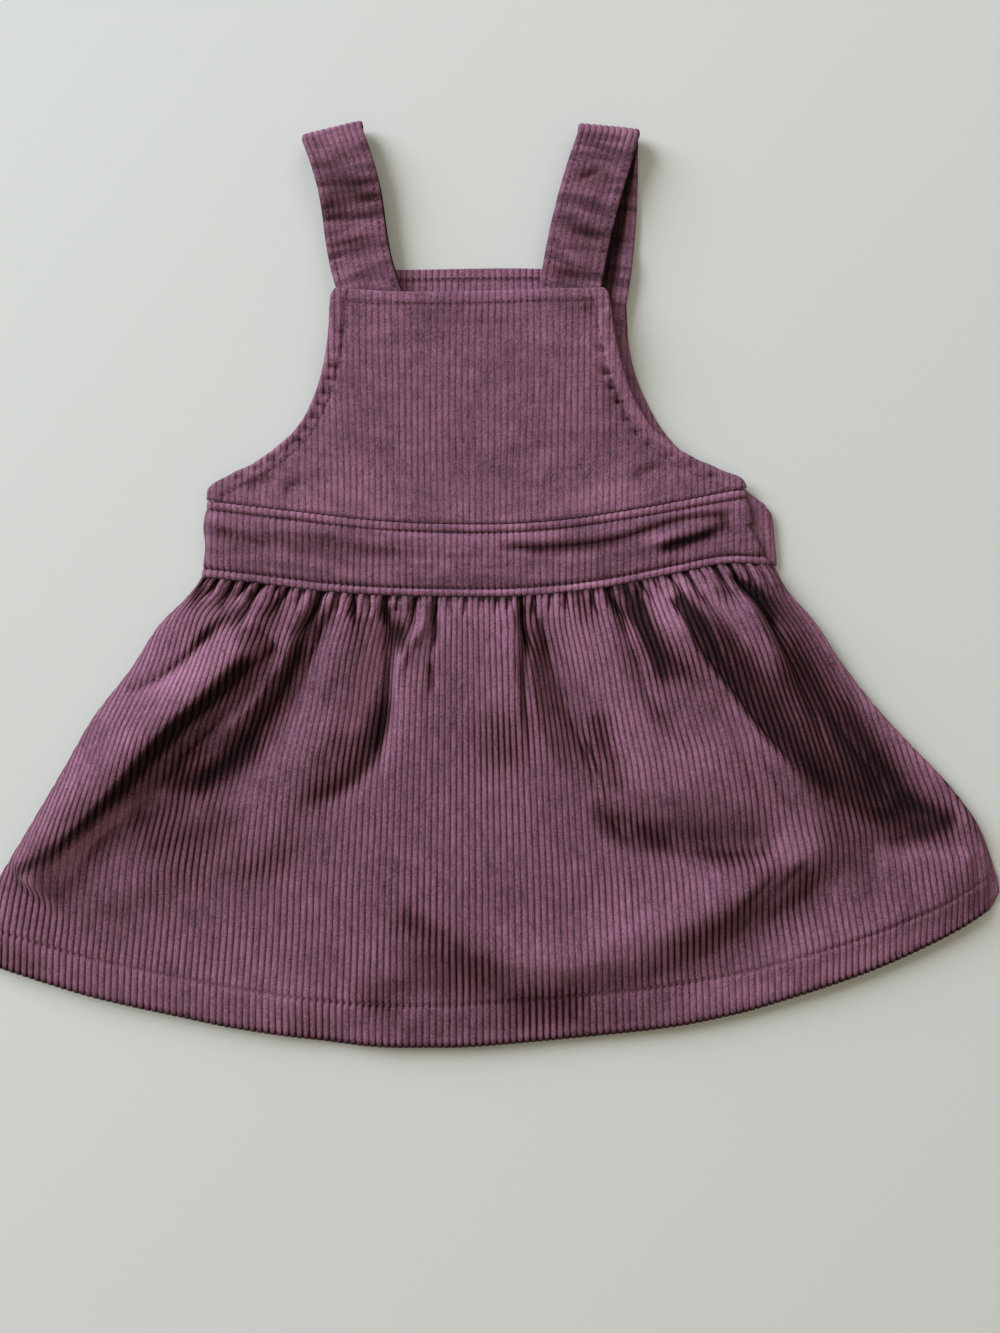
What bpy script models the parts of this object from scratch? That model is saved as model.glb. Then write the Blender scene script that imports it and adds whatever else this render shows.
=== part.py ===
"""A toddler's corduroy pinafore dress, laid flat on its back with its front side up.

Frame: metres. +X runs to the right as the garment is seen from above, +Y runs from the hem
to the straps and +Z is up. The origin is on the table, under the middle of the garment's box.

Every sewn piece is its own closed wall of cloth. A piece is a patch between four cut lines.
Rows run across the patch, from one side to the other, and the corduroy's wales cross them.
The outer face of each row is a zigzag of wales, and the inner face is plain and coarser.
"""
import math

import bmesh
import bpy
import numpy as np

MM = 0.001

# --- cloth, in millimetres ---------------------------------------------------------------
WALE_PITCH = 3.0        # from one rib of the corduroy to the next
WALE_HEIGHT = 0.55      # from the groove to the crest of a rib
GROUND = 1.25           # cloth left under a groove
SEAM_GAP = 0.3          # between two pieces at a seam, or one lying on the other
PLAIN_STEP = 4          # half wales to each column of the plain inner face
EDGE_MARGIN = 0.6       # a wale this close to a cut line ends at it

# --- heights of the layers above the table -----------------------------------------------
BACK_TOP = 1.5          # top of the back skirt and the back bodice
BACK_BAND_TOP = 2.4     # top of the back waistband, which is two layers of cloth
HEM_LAYER = 0.9         # the turned hem's second layer
BAND_CREST = 6.0        # top of the front waistband, midway between its seams
BAND_RIM = 4.9          # top of the front waistband at its edges
BIB_CREST = 4.1         # top of the front bib where it lies on the back bodice
RIM_Z = 3.4             # top of the front skirt where it meets the back at the side seam

# --- cut lines of the pieces, as they lie: (x, y) in millimetres ---------------------------
WAIST_SEAM = [(-132, 3.5), (-105, 0.5), (-77, -3), (-48, -5), (-4, -5.8), (26, -4.5), (55, -1),
              (85, 5), (108, 9.5), (129, 9)]
HEM = [(-235.5, -172), (-202, -183), (-178, -190), (-142, -198), (-112, -204), (-60, -211), (-30, -212),
       (1, -211), (73, -204), (109, -197.5), (134, -190.5), (174, -177), (205, -163), (228, -150)]
SKIRT_LEFT = [(-132, 3.5), (-139, -6), (-152, -19), (-165, -39), (-182, -61), (-197, -87), (-214, -116),
              (-227, -138), (-234, -156), (-235.5, -172)]
SKIRT_RIGHT = [(129, 9), (137, -3), (150, -18), (164, -39), (180, -59), (195, -75), (212, -93),
               (223, -109), (228, -124), (228.5, -150)]
BACK_RIGHT = [(132, 8.5), (138, -3), (150.5, -18), (164.5, -39), (180.5, -59), (195.5, -75), (212.5, -93),
              (225, -109), (232, -127), (235.6, -141), (231, -150)]
BAND_TOP = [(-129.5, 38.5), (-90, 33.8), (-48, 29.2), (-4, 27.8), (32, 29.7), (74, 36), (117.5, 44.3)]
BAND_LEFT = [(-129.5, 38.5), (-131, 27), (-130.3, 17), (-132, 3.9)]
BAND_RIGHT = [(117.5, 44.3), (120.6, 30), (119.4, 26.9), (122.6, 22.3), (129, 9.4)]
BACK_BAND_RIGHT = [(118, 44), (124, 39.5), (128.3, 36), (130.6, 30.8), (131.3, 23), (132.4, 12), (132.4, 9.2)]
BIB_TOP = [(-70, 134.5), (-41, 132.8), (-9, 132.8), (23, 134), (52, 134.6)]
BIB_LEFT = [(-70, 134.5), (-72, 131.5), (-72.5, 126.7), (-73.4, 113), (-76, 99), (-80.7, 85.3), (-89, 71.5),
            (-105.6, 57.7), (-119, 50.8), (-128.4, 45), (-129.6, 40)]
BIB_RIGHT = [(52, 134.6), (54, 132), (55, 127), (56.5, 116), (61, 98), (64.6, 89), (69.7, 79), (75.2, 71.5),
             (89, 61), (107, 52.6), (115.6, 48.9), (117.9, 45.8)]
BACK_NECK = [(-69, 146), (-39, 146), (24, 146.4), (60, 141)]
BACK_ARM_LEFT = [(-69, 146), (-71, 127), (-72.5, 113), (-75, 99), (-80, 85), (-88.5, 71.5), (-105, 57.5),
                 (-118.5, 50.5), (-129, 40.2)]
BACK_ARM_RIGHT = [(60, 141), (63, 131), (64.2, 113), (67, 99), (72.5, 85), (80.3, 71.5), (92, 59.5),
                  (109, 51), (118, 45.8)]

# --- skirt -----------------------------------------------------------------------------------
CENTRE_X = -20.0        # the wale that hangs straight down
SKIRT_ROWS = [0.0, 0.035, 0.09, 0.16, 0.25, 0.35, 0.45, 0.55, 0.65, 0.75, 0.85, 0.912, 0.928, 1.0]
HEM_LINE = 0.92         # the hem's stitching, as a share of the skirt's length
BACK_HEM_START = 0.9    # where the front skirt starts to clear the back skirt's turned hem
# height of the cloth over the length of the skirt, before the folds
SKIRT_BASE = [  # share of length, height
    (0.0, 4.6),
    (0.035, 7.4),
    (0.09, 8.4),
    (0.16, 8.6),
    (0.35, 8.2),
    (0.6, 7.4),
    (0.85, 6.2),
    (1.0, 5.0),
]
FOLD_START = 0.14       # share of the length over which the folds grow out of the waist seam
FOLD_LOWEST = 0.6       # the folds' floor, above the lowest place the cloth could lie
FOLD_SOFTNESS = 0.8     # how softly a trough meets that floor
WAIST_WIDTH = 260.0     # of the skirt, and what it gains down to the hem
FLARE = 205.0
SIDE_ROUNDING = 13.0    # width over which the skirt rolls down to its side seams
STEEPEST = 1.8          # most that a slope may add to the wall's upright thickness
GATHER_PITCH = 6.2      # the small gathers at the waist, crest to crest
GATHER_HEIGHT = 2.3
GATHER_LENGTH = 0.2     # share of the skirt's length over which a gather dies out
GATHER_FADE = 1.5       # power of that dying out
GATHER_ENDS = 12.0      # they start one part in this many from the side seams
# unevenness of the gathers: share of a pitch, and length of the swing over the waist
GATHER_SWINGS = [(0.35, 17.0), (0.25, 7.3)]
# Folds: name, height (a trough's is negative), width to its left and right looking along the
# line, shares of its length over which it rises and dies out, and the line of its crest.
FOLDS = [
    ("side ridge", 10.5, 13, 17, 0.1, 0.06,
     [(-99, -24), (-114, -35), (-131, -51), (-151, -71), (-172, -95), (-192, -117), (-213, -139)]),
    ("side trough", -4.5, 8, 9, 0.1, 0.2,
     [(-93, -25), (-103, -44), (-120, -65), (-144, -85), (-163, -103), (-182, -121), (-201, -135)]),
    ("thin ridge", 5.0, 5, 5, 0.0, 0.3,
     [(-83, -10), (-90, -28), (-102, -48), (-115, -62), (-133, -79)]),
    ("left trough", -5.5, 9, 8, 0.0, 0.2,
     [(-76, -11), (-85, -30), (-94, -53), (-107, -73), (-125, -91), (-142, -99)]),
    ("left ridge", 2.0, 10, 12, 0.0, 0.45,
     [(-58, -6), (-61, -32), (-68, -56), (-81, -78), (-94, -98), (-105, -118), (-113, -138)]),
    ("middle left trough", -4.6, 4, 14, 0.0, 0.6,
     [(-47, -8), (-46, -30), (-47, -53), (-51, -73), (-64, -92), (-84, -107)]),
    ("middle left ridge", 1.0, 18, 9, 0.15, 0.5,
     [(-40, -12), (-37, -30), (-38, -52), (-42, -75), (-48, -98), (-53, -121)]),
    ("middle ridge", 4.5, 8, 22, 0.0, 0.5,
     [(10, -6), (13, -32), (19, -56), (28, -78), (40, -96), (54, -110)]),
    ("middle right trough", -4.8, 15, 6, 0.0, 0.6,
     [(22, -4), (26, -34), (34, -55), (45, -76), (56, -94), (72, -110)]),
    ("right ridge", 4.5, 12, 18, 0.0, 0.55,
     [(50, -2), (60, -28), (72, -52), (85, -74), (98, -92), (112, -102)]),
    ("right trough", -5.0, 8, 8, 0.0, 0.4,
     [(54, -6), (63, -25), (73, -48), (87, -71), (101, -87)]),
    ("high ridge", 11.5, 38, 26, 0.0, 0.5,
     [(81, -4), (99, -32), (111, -51), (126, -73), (148, -98), (168, -118), (190, -140)]),
    ("high crest", 3.5, 8, 12, 0.1, 0.5,
     [(80, -4), (98, -32), (110, -51), (125, -73), (147, -98), (164, -114)]),
    ("short ridge", 4.5, 5, 6, 0.2, 0.4,
     [(112, -2), (122, -20), (131, -36), (138, -48)]),
    ("edge trough", -5.5, 8, 26, 0.0, 0.1,
     [(131, 0), (146, -20), (160, -41), (176, -61), (191, -77), (207, -94), (219, -109)]),
    ("edge ridge", 1.2, 4, 4, 0.3, 0.2,
     [(166, -44), (181, -61), (196, -77), (211, -94), (221, -112)]),
    ("pocket", -7.0, 11, 5, 0.3, 0.2,
     [(46, -96), (58, -110), (75, -118), (96, -121), (118, -122), (138, -122)]),
    ("belly", 4.5, 26, 15, 0.4, 0.5,
     [(32, -78), (65, -88), (95, -94), (132, -104)]),
    ("corner shelf", 3.0, 5, 16, 0.2, 0.15,
     [(172, -124), (190, -125), (207, -125), (224, -124)]),
    ("knee", 4.5, 13, 19, 0.25, 0.15,
     [(30, -168), (55, -163), (78, -156), (101, -147), (124, -135), (145, -122), (163, -113)]),
    ("hem trough", -4.5, 9, 11, 0.1, 0.2,
     [(166, -129), (148, -142), (124, -158), (97, -175), (69, -187), (37, -193), (8, -192), (-20, -188),
      (-46, -180)]),
    ("hem corner", 2.5, 12, 12, 0.2, 0.3,
     [(225, -138), (203, -145), (175, -157), (143, -171), (115, -184)]),
    ("hem swell", 4.8, 11, 10, 0.25, 0.3,
     [(-58, -156), (-30, -163), (5, -169), (36, -173), (64, -170)]),
    ("hem dent left", -2.6, 6, 8, 0.5, 0.5,
     [(-64, -185), (-46, -188), (-20, -184)]),
    ("hem dent low", -2.2, 6, 7, 0.5, 0.5,
     [(-95, -203), (-74, -205), (-50, -203)]),
    ("hem bump left", 1.6, 9, 8, 0.5, 0.5,
     [(-112, -188), (-95, -191), (-70, -189)]),
    ("left shelf", 2.0, 12, 12, 0.3, 0.3,
     [(-205, -150), (-178, -142), (-150, -130), (-128, -116)]),
    ("left dimple", -3.0, 8, 9, 0.3, 0.3,
     [(-168, -110), (-150, -104), (-130, -103)]),
]

# --- waistband and bib -------------------------------------------------------------------------
BAND_LENGTH = 255.0
BAND_END = 6.0          # length over which the front waistband rolls down to its ends
BAND_END_DROP = 1.4
BIB_TOP_WIDTH = 125.0   # and what the bib gains down to the waistband
BIB_FLARE = 120.0
BIB_RISE = 1.1          # how far the waistband lifts the bib's lower edge
TURN_WIDTH = 6.5        # the armholes' turned edge
TURN_LAYER = 0.6        # what its second layer adds
TURN_ROLL = 3.0         # width over which it rolls down to the edge
TURN_DROP = 1.1
LEG_MARGIN = 3.0        # the bib stays up between the straps and this far outside them
LEG_BESIDE = 44.0       # then comes down over these widths, outside and below them
LEG_BELOW = 95.0
FRONT_LEG_PAST = 4.0    # it is held up this far below a leg's end
BACK_LEG_PAST = 2.0

# --- straps ----------------------------------------------------------------------------------
STRAP_WIDTH = 28.0
STRAP_CLOTH = 1.8       # both layers of a strap, under the wales of its outer face
STRAP_WALE = 2.8        # the strap's ribs, pressed a little closer together
FOLD_RADIUS = 2.9       # middle of the cloth where a strap turns over
BACK_LEG_END = 111.0    # y of the sewn end inside the back bodice
FRONT_LEG_LIFT = 5.6    # how far a front leg and a back leg lift the bib that lies on them
BACK_LEG_LIFT = 2.4
FRONT_LEG_CLEAR = 0.5   # spare height between a strap's two legs where they cross
TABLE_CLEAR = 0.1       # and between the back leg and the table
EDGE_ROUNDING = 0.35    # how much thinner a strap is at its long edges
LINING_STEP = 5         # half wales to each column of a strap's plain side
WRINKLE_SHARE = 0.8     # how much of a wrinkle in the table below the cloth takes
FOLD_TURNS = [30, 65, 100, 140, 180]                        # degrees, round the fold
BACK_LEG_ROWS = [190, 172, 157, 148, 130, BACK_LEG_END]     # y of the back leg's sections
BODICE_STEP = (158, 10)     # y where a back leg starts to climb into the bodice, and over how much
# front leg's sewn end, the fold, and how far each leg leans from the garment's length
STRAPS = [  # name, end x, end y, fold x, fold y, front lean, back lean, back leg's end x
    ("strap_left", -52.3, 127.0, -71.8, 205.6, 13.0, 10.5, -54.0),
    ("strap_right", 35.4, 127.0, 54.6, 206.2, -12.9, -5.0, 45.5),
]
# cross wrinkles of a front leg: distance from its sewn end, height above its middle
WRINKLES = {
    "strap_left": [(0, 0.0), (8, 0.2), (13, -0.8), (18, 0.4), (26, 0.2), (31, -0.6), (36, 0.4), (41.5, -0.8),
                   (46, 0.3), (52, 0.4), (57, -1.0), (62, 0.4), (67.3, -0.4), (74, 0.3)],
    "strap_right": [(0, 0.0), (8, 0.3), (14.3, -1.0), (19, 0.4), (26.2, -0.5), (30, 0.3), (34.5, -1.0),
                    (39, 0.4), (46.5, -0.4), (51, 0.3), (57, 0.2), (60.7, -0.5), (66, 0.4), (74, 0.3)],
}

# --- colours, linear red, green and blue -------------------------------------------------------
COLOURS = {
    "back_skirt": (0.10, 0.050, 0.070),
    "back_waistband": (0.11, 0.052, 0.075),
    "back_bodice": (0.12, 0.058, 0.082),
    "front_skirt": (0.155, 0.075, 0.105),
    "front_waistband": (0.14, 0.064, 0.092),
    "front_bib": (0.17, 0.080, 0.120),
    "strap_left": (0.16, 0.078, 0.115),
    "strap_right": (0.16, 0.078, 0.115),
}


# --- lines and patches -------------------------------------------------------------------------
def smooth_line(points, count=160):
    """Points evenly far apart along a smooth curve through `points` (Catmull-Rom)."""
    given = np.array(points, float)
    ends = np.vstack([2 * given[0] - given[1], given, 2 * given[-1] - given[-2]])
    t = np.linspace(0, 1, 24, endpoint=False)[:, None]
    pieces = []
    for a, b, c, d in zip(ends, ends[1:], ends[2:], ends[3:]):
        pieces.append(0.5 * (2 * b + (c - a) * t + (2 * a - 5 * b + 4 * c - d) * t ** 2
                             + (3 * b - a - 3 * c + d) * t ** 3))
    dense = np.vstack(pieces + [given[-1:]])
    run = np.concatenate([[0], np.cumsum(np.linalg.norm(np.diff(dense, axis=0), axis=1))])
    at = np.linspace(0, run[-1], count)
    return np.column_stack([np.interp(at, run, dense[:, k]) for k in (0, 1)])


def at_share(line, share):
    """The point of an evenly spaced line at a share, 0 to 1, of its length."""
    places = np.linspace(0, 1, len(line))
    return np.stack([np.interp(share, places, line[:, k]) for k in (0, 1)], axis=-1)


class Patch:
    """The flat area between a top, a bottom, a left and a right line."""

    def __init__(self, top, bottom, left, right):
        self.top, self.bottom = smooth_line(top), smooth_line(bottom)
        self.left, self.right = smooth_line(left), smooth_line(right)

    def row(self, v, count=500):
        """Plan points of the row at share v of the way from the top to the bottom line."""
        u = np.linspace(0, 1, count)[:, None]
        corners = ((1 - u) * (1 - v) * self.top[0] + u * (1 - v) * self.top[-1]
                   + (1 - u) * v * self.bottom[0] + u * v * self.bottom[-1])
        across = (1 - v) * at_share(self.top, u[:, 0]) + v * at_share(self.bottom, u[:, 0])
        down = (1 - u) * at_share(self.left, v) + u * at_share(self.right, v)
        return u[:, 0], across + down - corners


def eased(share):
    share = np.clip(share, 0, 1)
    return share * share * (3 - 2 * share)


def fold_heights(x, y, folds):
    """Summed height of the folds at plan points."""
    total = np.zeros_like(x)
    for line, (name, height, left, right, rise, fall, points) in folds:
        start, step = line[:-1], np.diff(line, axis=0)
        best = np.full_like(x, 1e9)
        offset = np.zeros_like(x)
        place = np.zeros_like(x)
        for k, (origin, run) in enumerate(zip(start, step)):
            away = np.stack([x - origin[0], y - origin[1]], axis=-1)
            share = np.clip(away @ run / (run @ run), 0, 1)
            miss = away - share[..., None] * run
            distance = np.hypot(miss[..., 0], miss[..., 1])
            side = np.sign(run[0] * away[..., 1] - run[1] * away[..., 0])
            closer = distance < best
            best = np.where(closer, distance, best)
            offset = np.where(closer, distance * side, offset)
            place = np.where(closer, (k + share) / len(step), place)
        width = np.where(offset > 0, left, right)
        fade = 1.0
        if rise:
            fade = fade * eased(place / rise)
        if fall:
            fade = fade * eased((1 - place) / fall)
        total += height * fade * np.exp(-np.abs(offset / width) ** 1.7)
    return total


# --- walls ---------------------------------------------------------------------------------------
def sew(mesh, first, second):
    """Triangles between two lines of (place, vertex), taken in order of place."""
    i = j = 0
    while i < len(first) - 1 or j < len(second) - 1:
        next_i = first[i + 1][0] if i < len(first) - 1 else math.inf
        next_j = second[j + 1][0] if j < len(second) - 1 else math.inf
        if abs(next_i - next_j) < 1e-6:
            mesh.faces.new((first[i][1], first[i + 1][1], second[j + 1][1]))
            mesh.faces.new((first[i][1], second[j + 1][1], second[j][1]))
            i, j = i + 1, j + 1
        elif next_i < next_j:
            mesh.faces.new((first[i][1], first[i + 1][1], second[j][1]))
            i += 1
        else:
            mesh.faces.new((first[i][1], second[j + 1][1], second[j][1]))
            j += 1


def row_places(patch, v, height, along_cloth):
    """A row's plan points, its smooth heights, and each point's place across the wales."""
    u, plan = patch.row(v)
    z = height(u, v, plan[:, 0], plan[:, 1])
    if along_cloth:
        solid = np.column_stack([plan, z])
        run = np.concatenate([[0], np.cumsum(np.linalg.norm(np.diff(solid, axis=0), axis=1))])
        middle = np.interp(CENTRE_X, plan[:, 0], run)
        return u, plan, z, run - middle
    return u, plan, z, plan[:, 0] - CENTRE_X


def wall(name, patch, rows, height, under, ribbed, along_cloth=False, extra=None, plain_step=PLAIN_STEP):
    """A closed wall: `height` gives its smooth outer face, `under` its inner face's heights.

    Rows whose share is in `ribbed` (low, high) carry wales; `extra` raises the outer face only.
    """
    mesh = bmesh.new()
    outer_rows, inner_rows = [], []
    half = WALE_PITCH / 2
    for v in rows:
        u, plan, z, place = row_places(patch, v, height, along_cloth)
        low, high = place[0], place[-1]
        columns = np.arange(math.floor(low / half), math.ceil(high / half) + 1)
        inside = columns[(columns * half > low + EDGE_MARGIN) & (columns * half < high - EDGE_MARGIN)]
        at = np.concatenate([[low], inside * half, [high]])
        share, x, y, top = (np.interp(at, place, values) for values in (u, plan[:, 0], plan[:, 1], z))
        on_grid = np.concatenate([[True], inside % plain_step == 0, [True]])
        bottom = under(share, v, x, y, top)
        if extra:
            top = top + extra(share, v, x, y)
        used = on_grid
        if ribbed[0] <= v <= ribbed[1]:
            crest = np.concatenate([[False], inside % 2 == 0, [False]])
            top = top + WALE_HEIGHT * crest
            used = np.full(len(at), True)
        outer_rows.append([(at[k], mesh.verts.new((x[k] * MM, y[k] * MM, top[k] * MM)))
                           for k in np.flatnonzero(used)])
        inner_rows.append([(at[k], mesh.verts.new((x[k] * MM, y[k] * MM, bottom[k] * MM)))
                           for k in np.flatnonzero(on_grid)])
    for upper, lower in zip(outer_rows, outer_rows[1:]):
        sew(mesh, upper, lower)
    for upper, lower in zip(inner_rows, inner_rows[1:]):
        sew(mesh, upper, lower)
    sew(mesh, outer_rows[0], inner_rows[0])
    sew(mesh, outer_rows[-1], inner_rows[-1])
    for end in (0, -1):
        outer_side = [(v, line[end][1]) for v, line in zip(rows, outer_rows)]
        inner_side = [(v, line[end][1]) for v, line in zip(rows, inner_rows)]
        sew(mesh, outer_side, inner_side)
    return finish(name, mesh)


def finish(name, mesh):
    """Turn a bmesh into a named object in the scene, its faces pointing out."""
    bmesh.ops.recalc_face_normals(mesh, faces=mesh.faces)
    if mesh.calc_volume(signed=True) < 0:
        bmesh.ops.reverse_faces(mesh, faces=mesh.faces)
    data = bpy.data.meshes.new(name)
    mesh.to_mesh(data)
    mesh.free()
    item = bpy.data.objects.new(name, data)
    bpy.context.collection.objects.link(item)
    print(name, len(data.polygons), "triangles")
    return item


def corduroy(name, colour):
    """A plain plum cloth material for one piece."""
    material = bpy.data.materials.new(name)
    material.use_nodes = True
    shader = material.node_tree.nodes["Principled BSDF"]
    shader.inputs["Base Color"].default_value = (*colour, 1)
    shader.inputs["Roughness"].default_value = 0.9
    shader.inputs["Metallic"].default_value = 0.0
    return material


# --- heights of the pieces -------------------------------------------------------------------------
def round_edge(distance, radius):
    """Rises from 0 at an edge to 1 at `radius` from it, as a quarter circle does."""
    away = 1 - np.clip(distance / radius, 0, 1)
    return np.sqrt(1 - away ** 2)


def table_value(table, at):
    places, values = zip(*table)
    return np.interp(at, places, values)


SKIRT_PATCH = Patch(WAIST_SEAM, HEM, SKIRT_LEFT, SKIRT_RIGHT)
FOLD_LINES = [(smooth_line(fold[-1], 16), fold) for fold in FOLDS]


def skirt_height(u, v, x, y):
    """Smooth outer face of the front skirt: a swell with the folds on it, down to the side seams."""
    base = table_value(SKIRT_BASE, v)
    folded = base + fold_heights(x, y, FOLD_LINES) * eased(v / FOLD_START)
    lowest = BACK_TOP + SEAM_GAP + GROUND + FOLD_LOWEST
    folded = lowest + np.logaddexp(0, (folded - lowest) / FOLD_SOFTNESS) * FOLD_SOFTNESS
    from_side = np.minimum(u, 1 - u) * (WAIST_WIDTH + FLARE * v)
    return RIM_Z + (folded - RIM_Z) * round_edge(from_side, SIDE_ROUNDING)


def skirt_under(u, v, x, y, top):
    """Inner face of the front skirt: parallel to the outer one, and thicker at the turned hem."""
    step = WALE_PITCH / 6
    slope_x = (skirt_height(u, v, x + step, y) - skirt_height(u, v, x - step, y)) / (2 * step)
    slope_y = (skirt_height(u, v, x, y + step) - skirt_height(u, v, x, y - step)) / (2 * step)
    lean = np.minimum(np.sqrt(1 + slope_x ** 2 + slope_y ** 2), STEEPEST)
    layers = GROUND + (HEM_LAYER if v > HEM_LINE else 0.0)
    lowest = BACK_TOP + SEAM_GAP + (HEM_LAYER if v > BACK_HEM_START else 0.0)
    return np.maximum(top - layers * lean, lowest)


def gathers(u, v, x, y):
    """The small gathers under the waistband, which lift the outer face only."""
    phase = x / GATHER_PITCH + sum(share * np.sin(x / length) for share, length in GATHER_SWINGS)
    strength = GATHER_HEIGHT * max(1 - v / GATHER_LENGTH, 0) ** GATHER_FADE
    ends = np.minimum(np.minimum(u, 1 - u) * GATHER_ENDS, 1)
    return strength * (0.5 + 0.5 * np.cos(2 * math.pi * phase)) * ends


def band_height(u, v, x, y):
    """Front waistband: a long low cushion, pulled in at its two seams and rounded at its ends."""
    swell = np.sin(np.pi * np.clip(v, 0, 1)) ** 0.5
    from_side = np.minimum(u, 1 - u) * BAND_LENGTH
    return BAND_RIM + (BAND_CREST - BAND_RIM) * swell - BAND_END_DROP * (1 - round_edge(from_side, BAND_END))


def leg_line(y, low_x, low_y, fold_x, fold_y):
    """x of the middle of a strap's leg at places y up the garment."""
    return low_x + (y - low_y) * (fold_x - low_x) / (fold_y - low_y)


def bib_height(u, v, x, y):
    """Front bib: nearly flat, lifted over the strap ends sewn behind it and taut between them."""
    lift = 0.0
    for column, low_y, rise in ((1, STRAPS[0][2] - FRONT_LEG_PAST, FRONT_LEG_LIFT),
                                (7, BACK_LEG_END - BACK_LEG_PAST, BACK_LEG_LIFT)):
        left, right = (leg_line(y, row[column], low_y, row[3], row[4]) for row in STRAPS)
        beside = (np.maximum(left - x, x - right) - STRAP_WIDTH / 2 - LEG_MARGIN) / LEG_BESIDE
        below = (low_y - y) / LEG_BELOW
        lift = np.maximum(lift, rise * (1 - eased(beside)) * (1 - eased(below)))
    from_side = np.minimum(u, 1 - u) * (BIB_TOP_WIDTH + BIB_FLARE * v)
    turn = TURN_LAYER * (1 - eased((from_side - TURN_WIDTH) / WALE_PITCH + 0.5))
    roll = TURN_DROP * (1 - round_edge(from_side, TURN_ROLL))
    return BIB_CREST + lift + BIB_RISE * v ** 3 + (turn - roll) * (1 - lift / FRONT_LEG_LIFT)


# --- pieces --------------------------------------------------------------------------------------------
def back_skirt():
    """Lies flat on the table, its outer side down. The hem is turned up inside."""
    seam = [(x, y) for x, y in WAIST_SEAM[:-1]] + [(132, 8.5)]
    hem = HEM[:-1] + [(231, -150)]
    patch = Patch(seam, hem, SKIRT_LEFT, BACK_RIGHT)

    def height(u, v, x, y):
        return np.full_like(x, BACK_TOP + (HEM_LAYER if v > HEM_LINE else 0.0))

    def under(u, v, x, y, top):
        return np.zeros_like(x)

    rows = [0.0, 0.15, 0.3, 0.45, 0.6, 0.75, 0.85, 0.91, 0.925, 1.0]
    return wall("back_skirt", patch, rows, height, under, ribbed=(2, 2), plain_step=16)


def back_waistband():
    """Two layers of cloth, flat on the table under the front waistband."""
    top = [(x, y) for x, y in BAND_TOP[:-1]] + [(118, 44)]
    bottom = [(x, y + SEAM_GAP) for x, y in WAIST_SEAM[:-1]] + [(132.4, 9.2)]
    patch = Patch(top, bottom, [top[0], (-131, 27), (-130.3, 17), bottom[0]], BACK_BAND_RIGHT)

    def height(u, v, x, y):
        return np.full_like(x, BACK_BAND_TOP - 0.5 * abs(2 * v - 1) ** 3)

    def under(u, v, x, y, top):
        return np.zeros_like(x)

    rows = [0.0, 0.2, 0.5, 0.8, 1.0]
    return wall("back_waistband", patch, rows, height, under, ribbed=(2, 2), plain_step=16)


def back_bodice():
    """Flat on the table. Its upper edge shows above the bib, so that strip has its wales."""
    bottom = [(x, y + SEAM_GAP) for x, y in BAND_TOP[:-1]] + [(118, 45.8)]
    bottom[0] = (-129, 40.2)
    patch = Patch(BACK_NECK, bottom, BACK_ARM_LEFT, BACK_ARM_RIGHT)

    def height(u, v, x, y):
        return np.full_like(x, BACK_TOP - WALE_HEIGHT * 0.5)

    def under(u, v, x, y, top):
        return np.zeros_like(x)

    rows = [0.0, 0.07, 0.15, 0.3, 0.45, 0.6, 0.75, 0.88, 1.0]
    return wall("back_bodice", patch, rows, height, under, ribbed=(0.0, 0.15), plain_step=16)


def front_skirt():
    """The gathered panel, with its big folds, small gathers and wales."""
    return wall("front_skirt", SKIRT_PATCH, SKIRT_ROWS, skirt_height, skirt_under, ribbed=(0.0, 1.0),
                along_cloth=True, extra=gathers)


def front_waistband():
    """A band between the bib and the skirt, a seam's gap from each."""
    bottom = [(x, y + SEAM_GAP) for x, y in WAIST_SEAM]
    patch = Patch(BAND_TOP, bottom, BAND_LEFT, BAND_RIGHT)

    def under(u, v, x, y, top):
        return np.full_like(x, BACK_BAND_TOP + SEAM_GAP)

    return wall("front_waistband", patch, [0.0, 0.12, 0.5, 0.88, 1.0], band_height, under, ribbed=(0.0, 1.0),
                plain_step=8)


def front_bib():
    """The shaped bib, from the armholes' turned edges down to the waistband."""
    bottom = [(x, y + SEAM_GAP) for x, y in BAND_TOP]
    bottom[0], bottom[-1] = BIB_LEFT[-1], BIB_RIGHT[-1]
    patch = Patch(BIB_TOP, bottom, BIB_LEFT, BIB_RIGHT)

    def under(u, v, x, y, top):
        return np.maximum(top - GROUND, BACK_TOP + SEAM_GAP)

    rows = [0.0, 0.03, 0.1, 0.2, 0.32, 0.45, 0.58, 0.7, 0.8, 0.9, 1.0]
    return wall("front_bib", patch, rows, bib_height, under, ribbed=(0.0, 1.0), plain_step=8)


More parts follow.
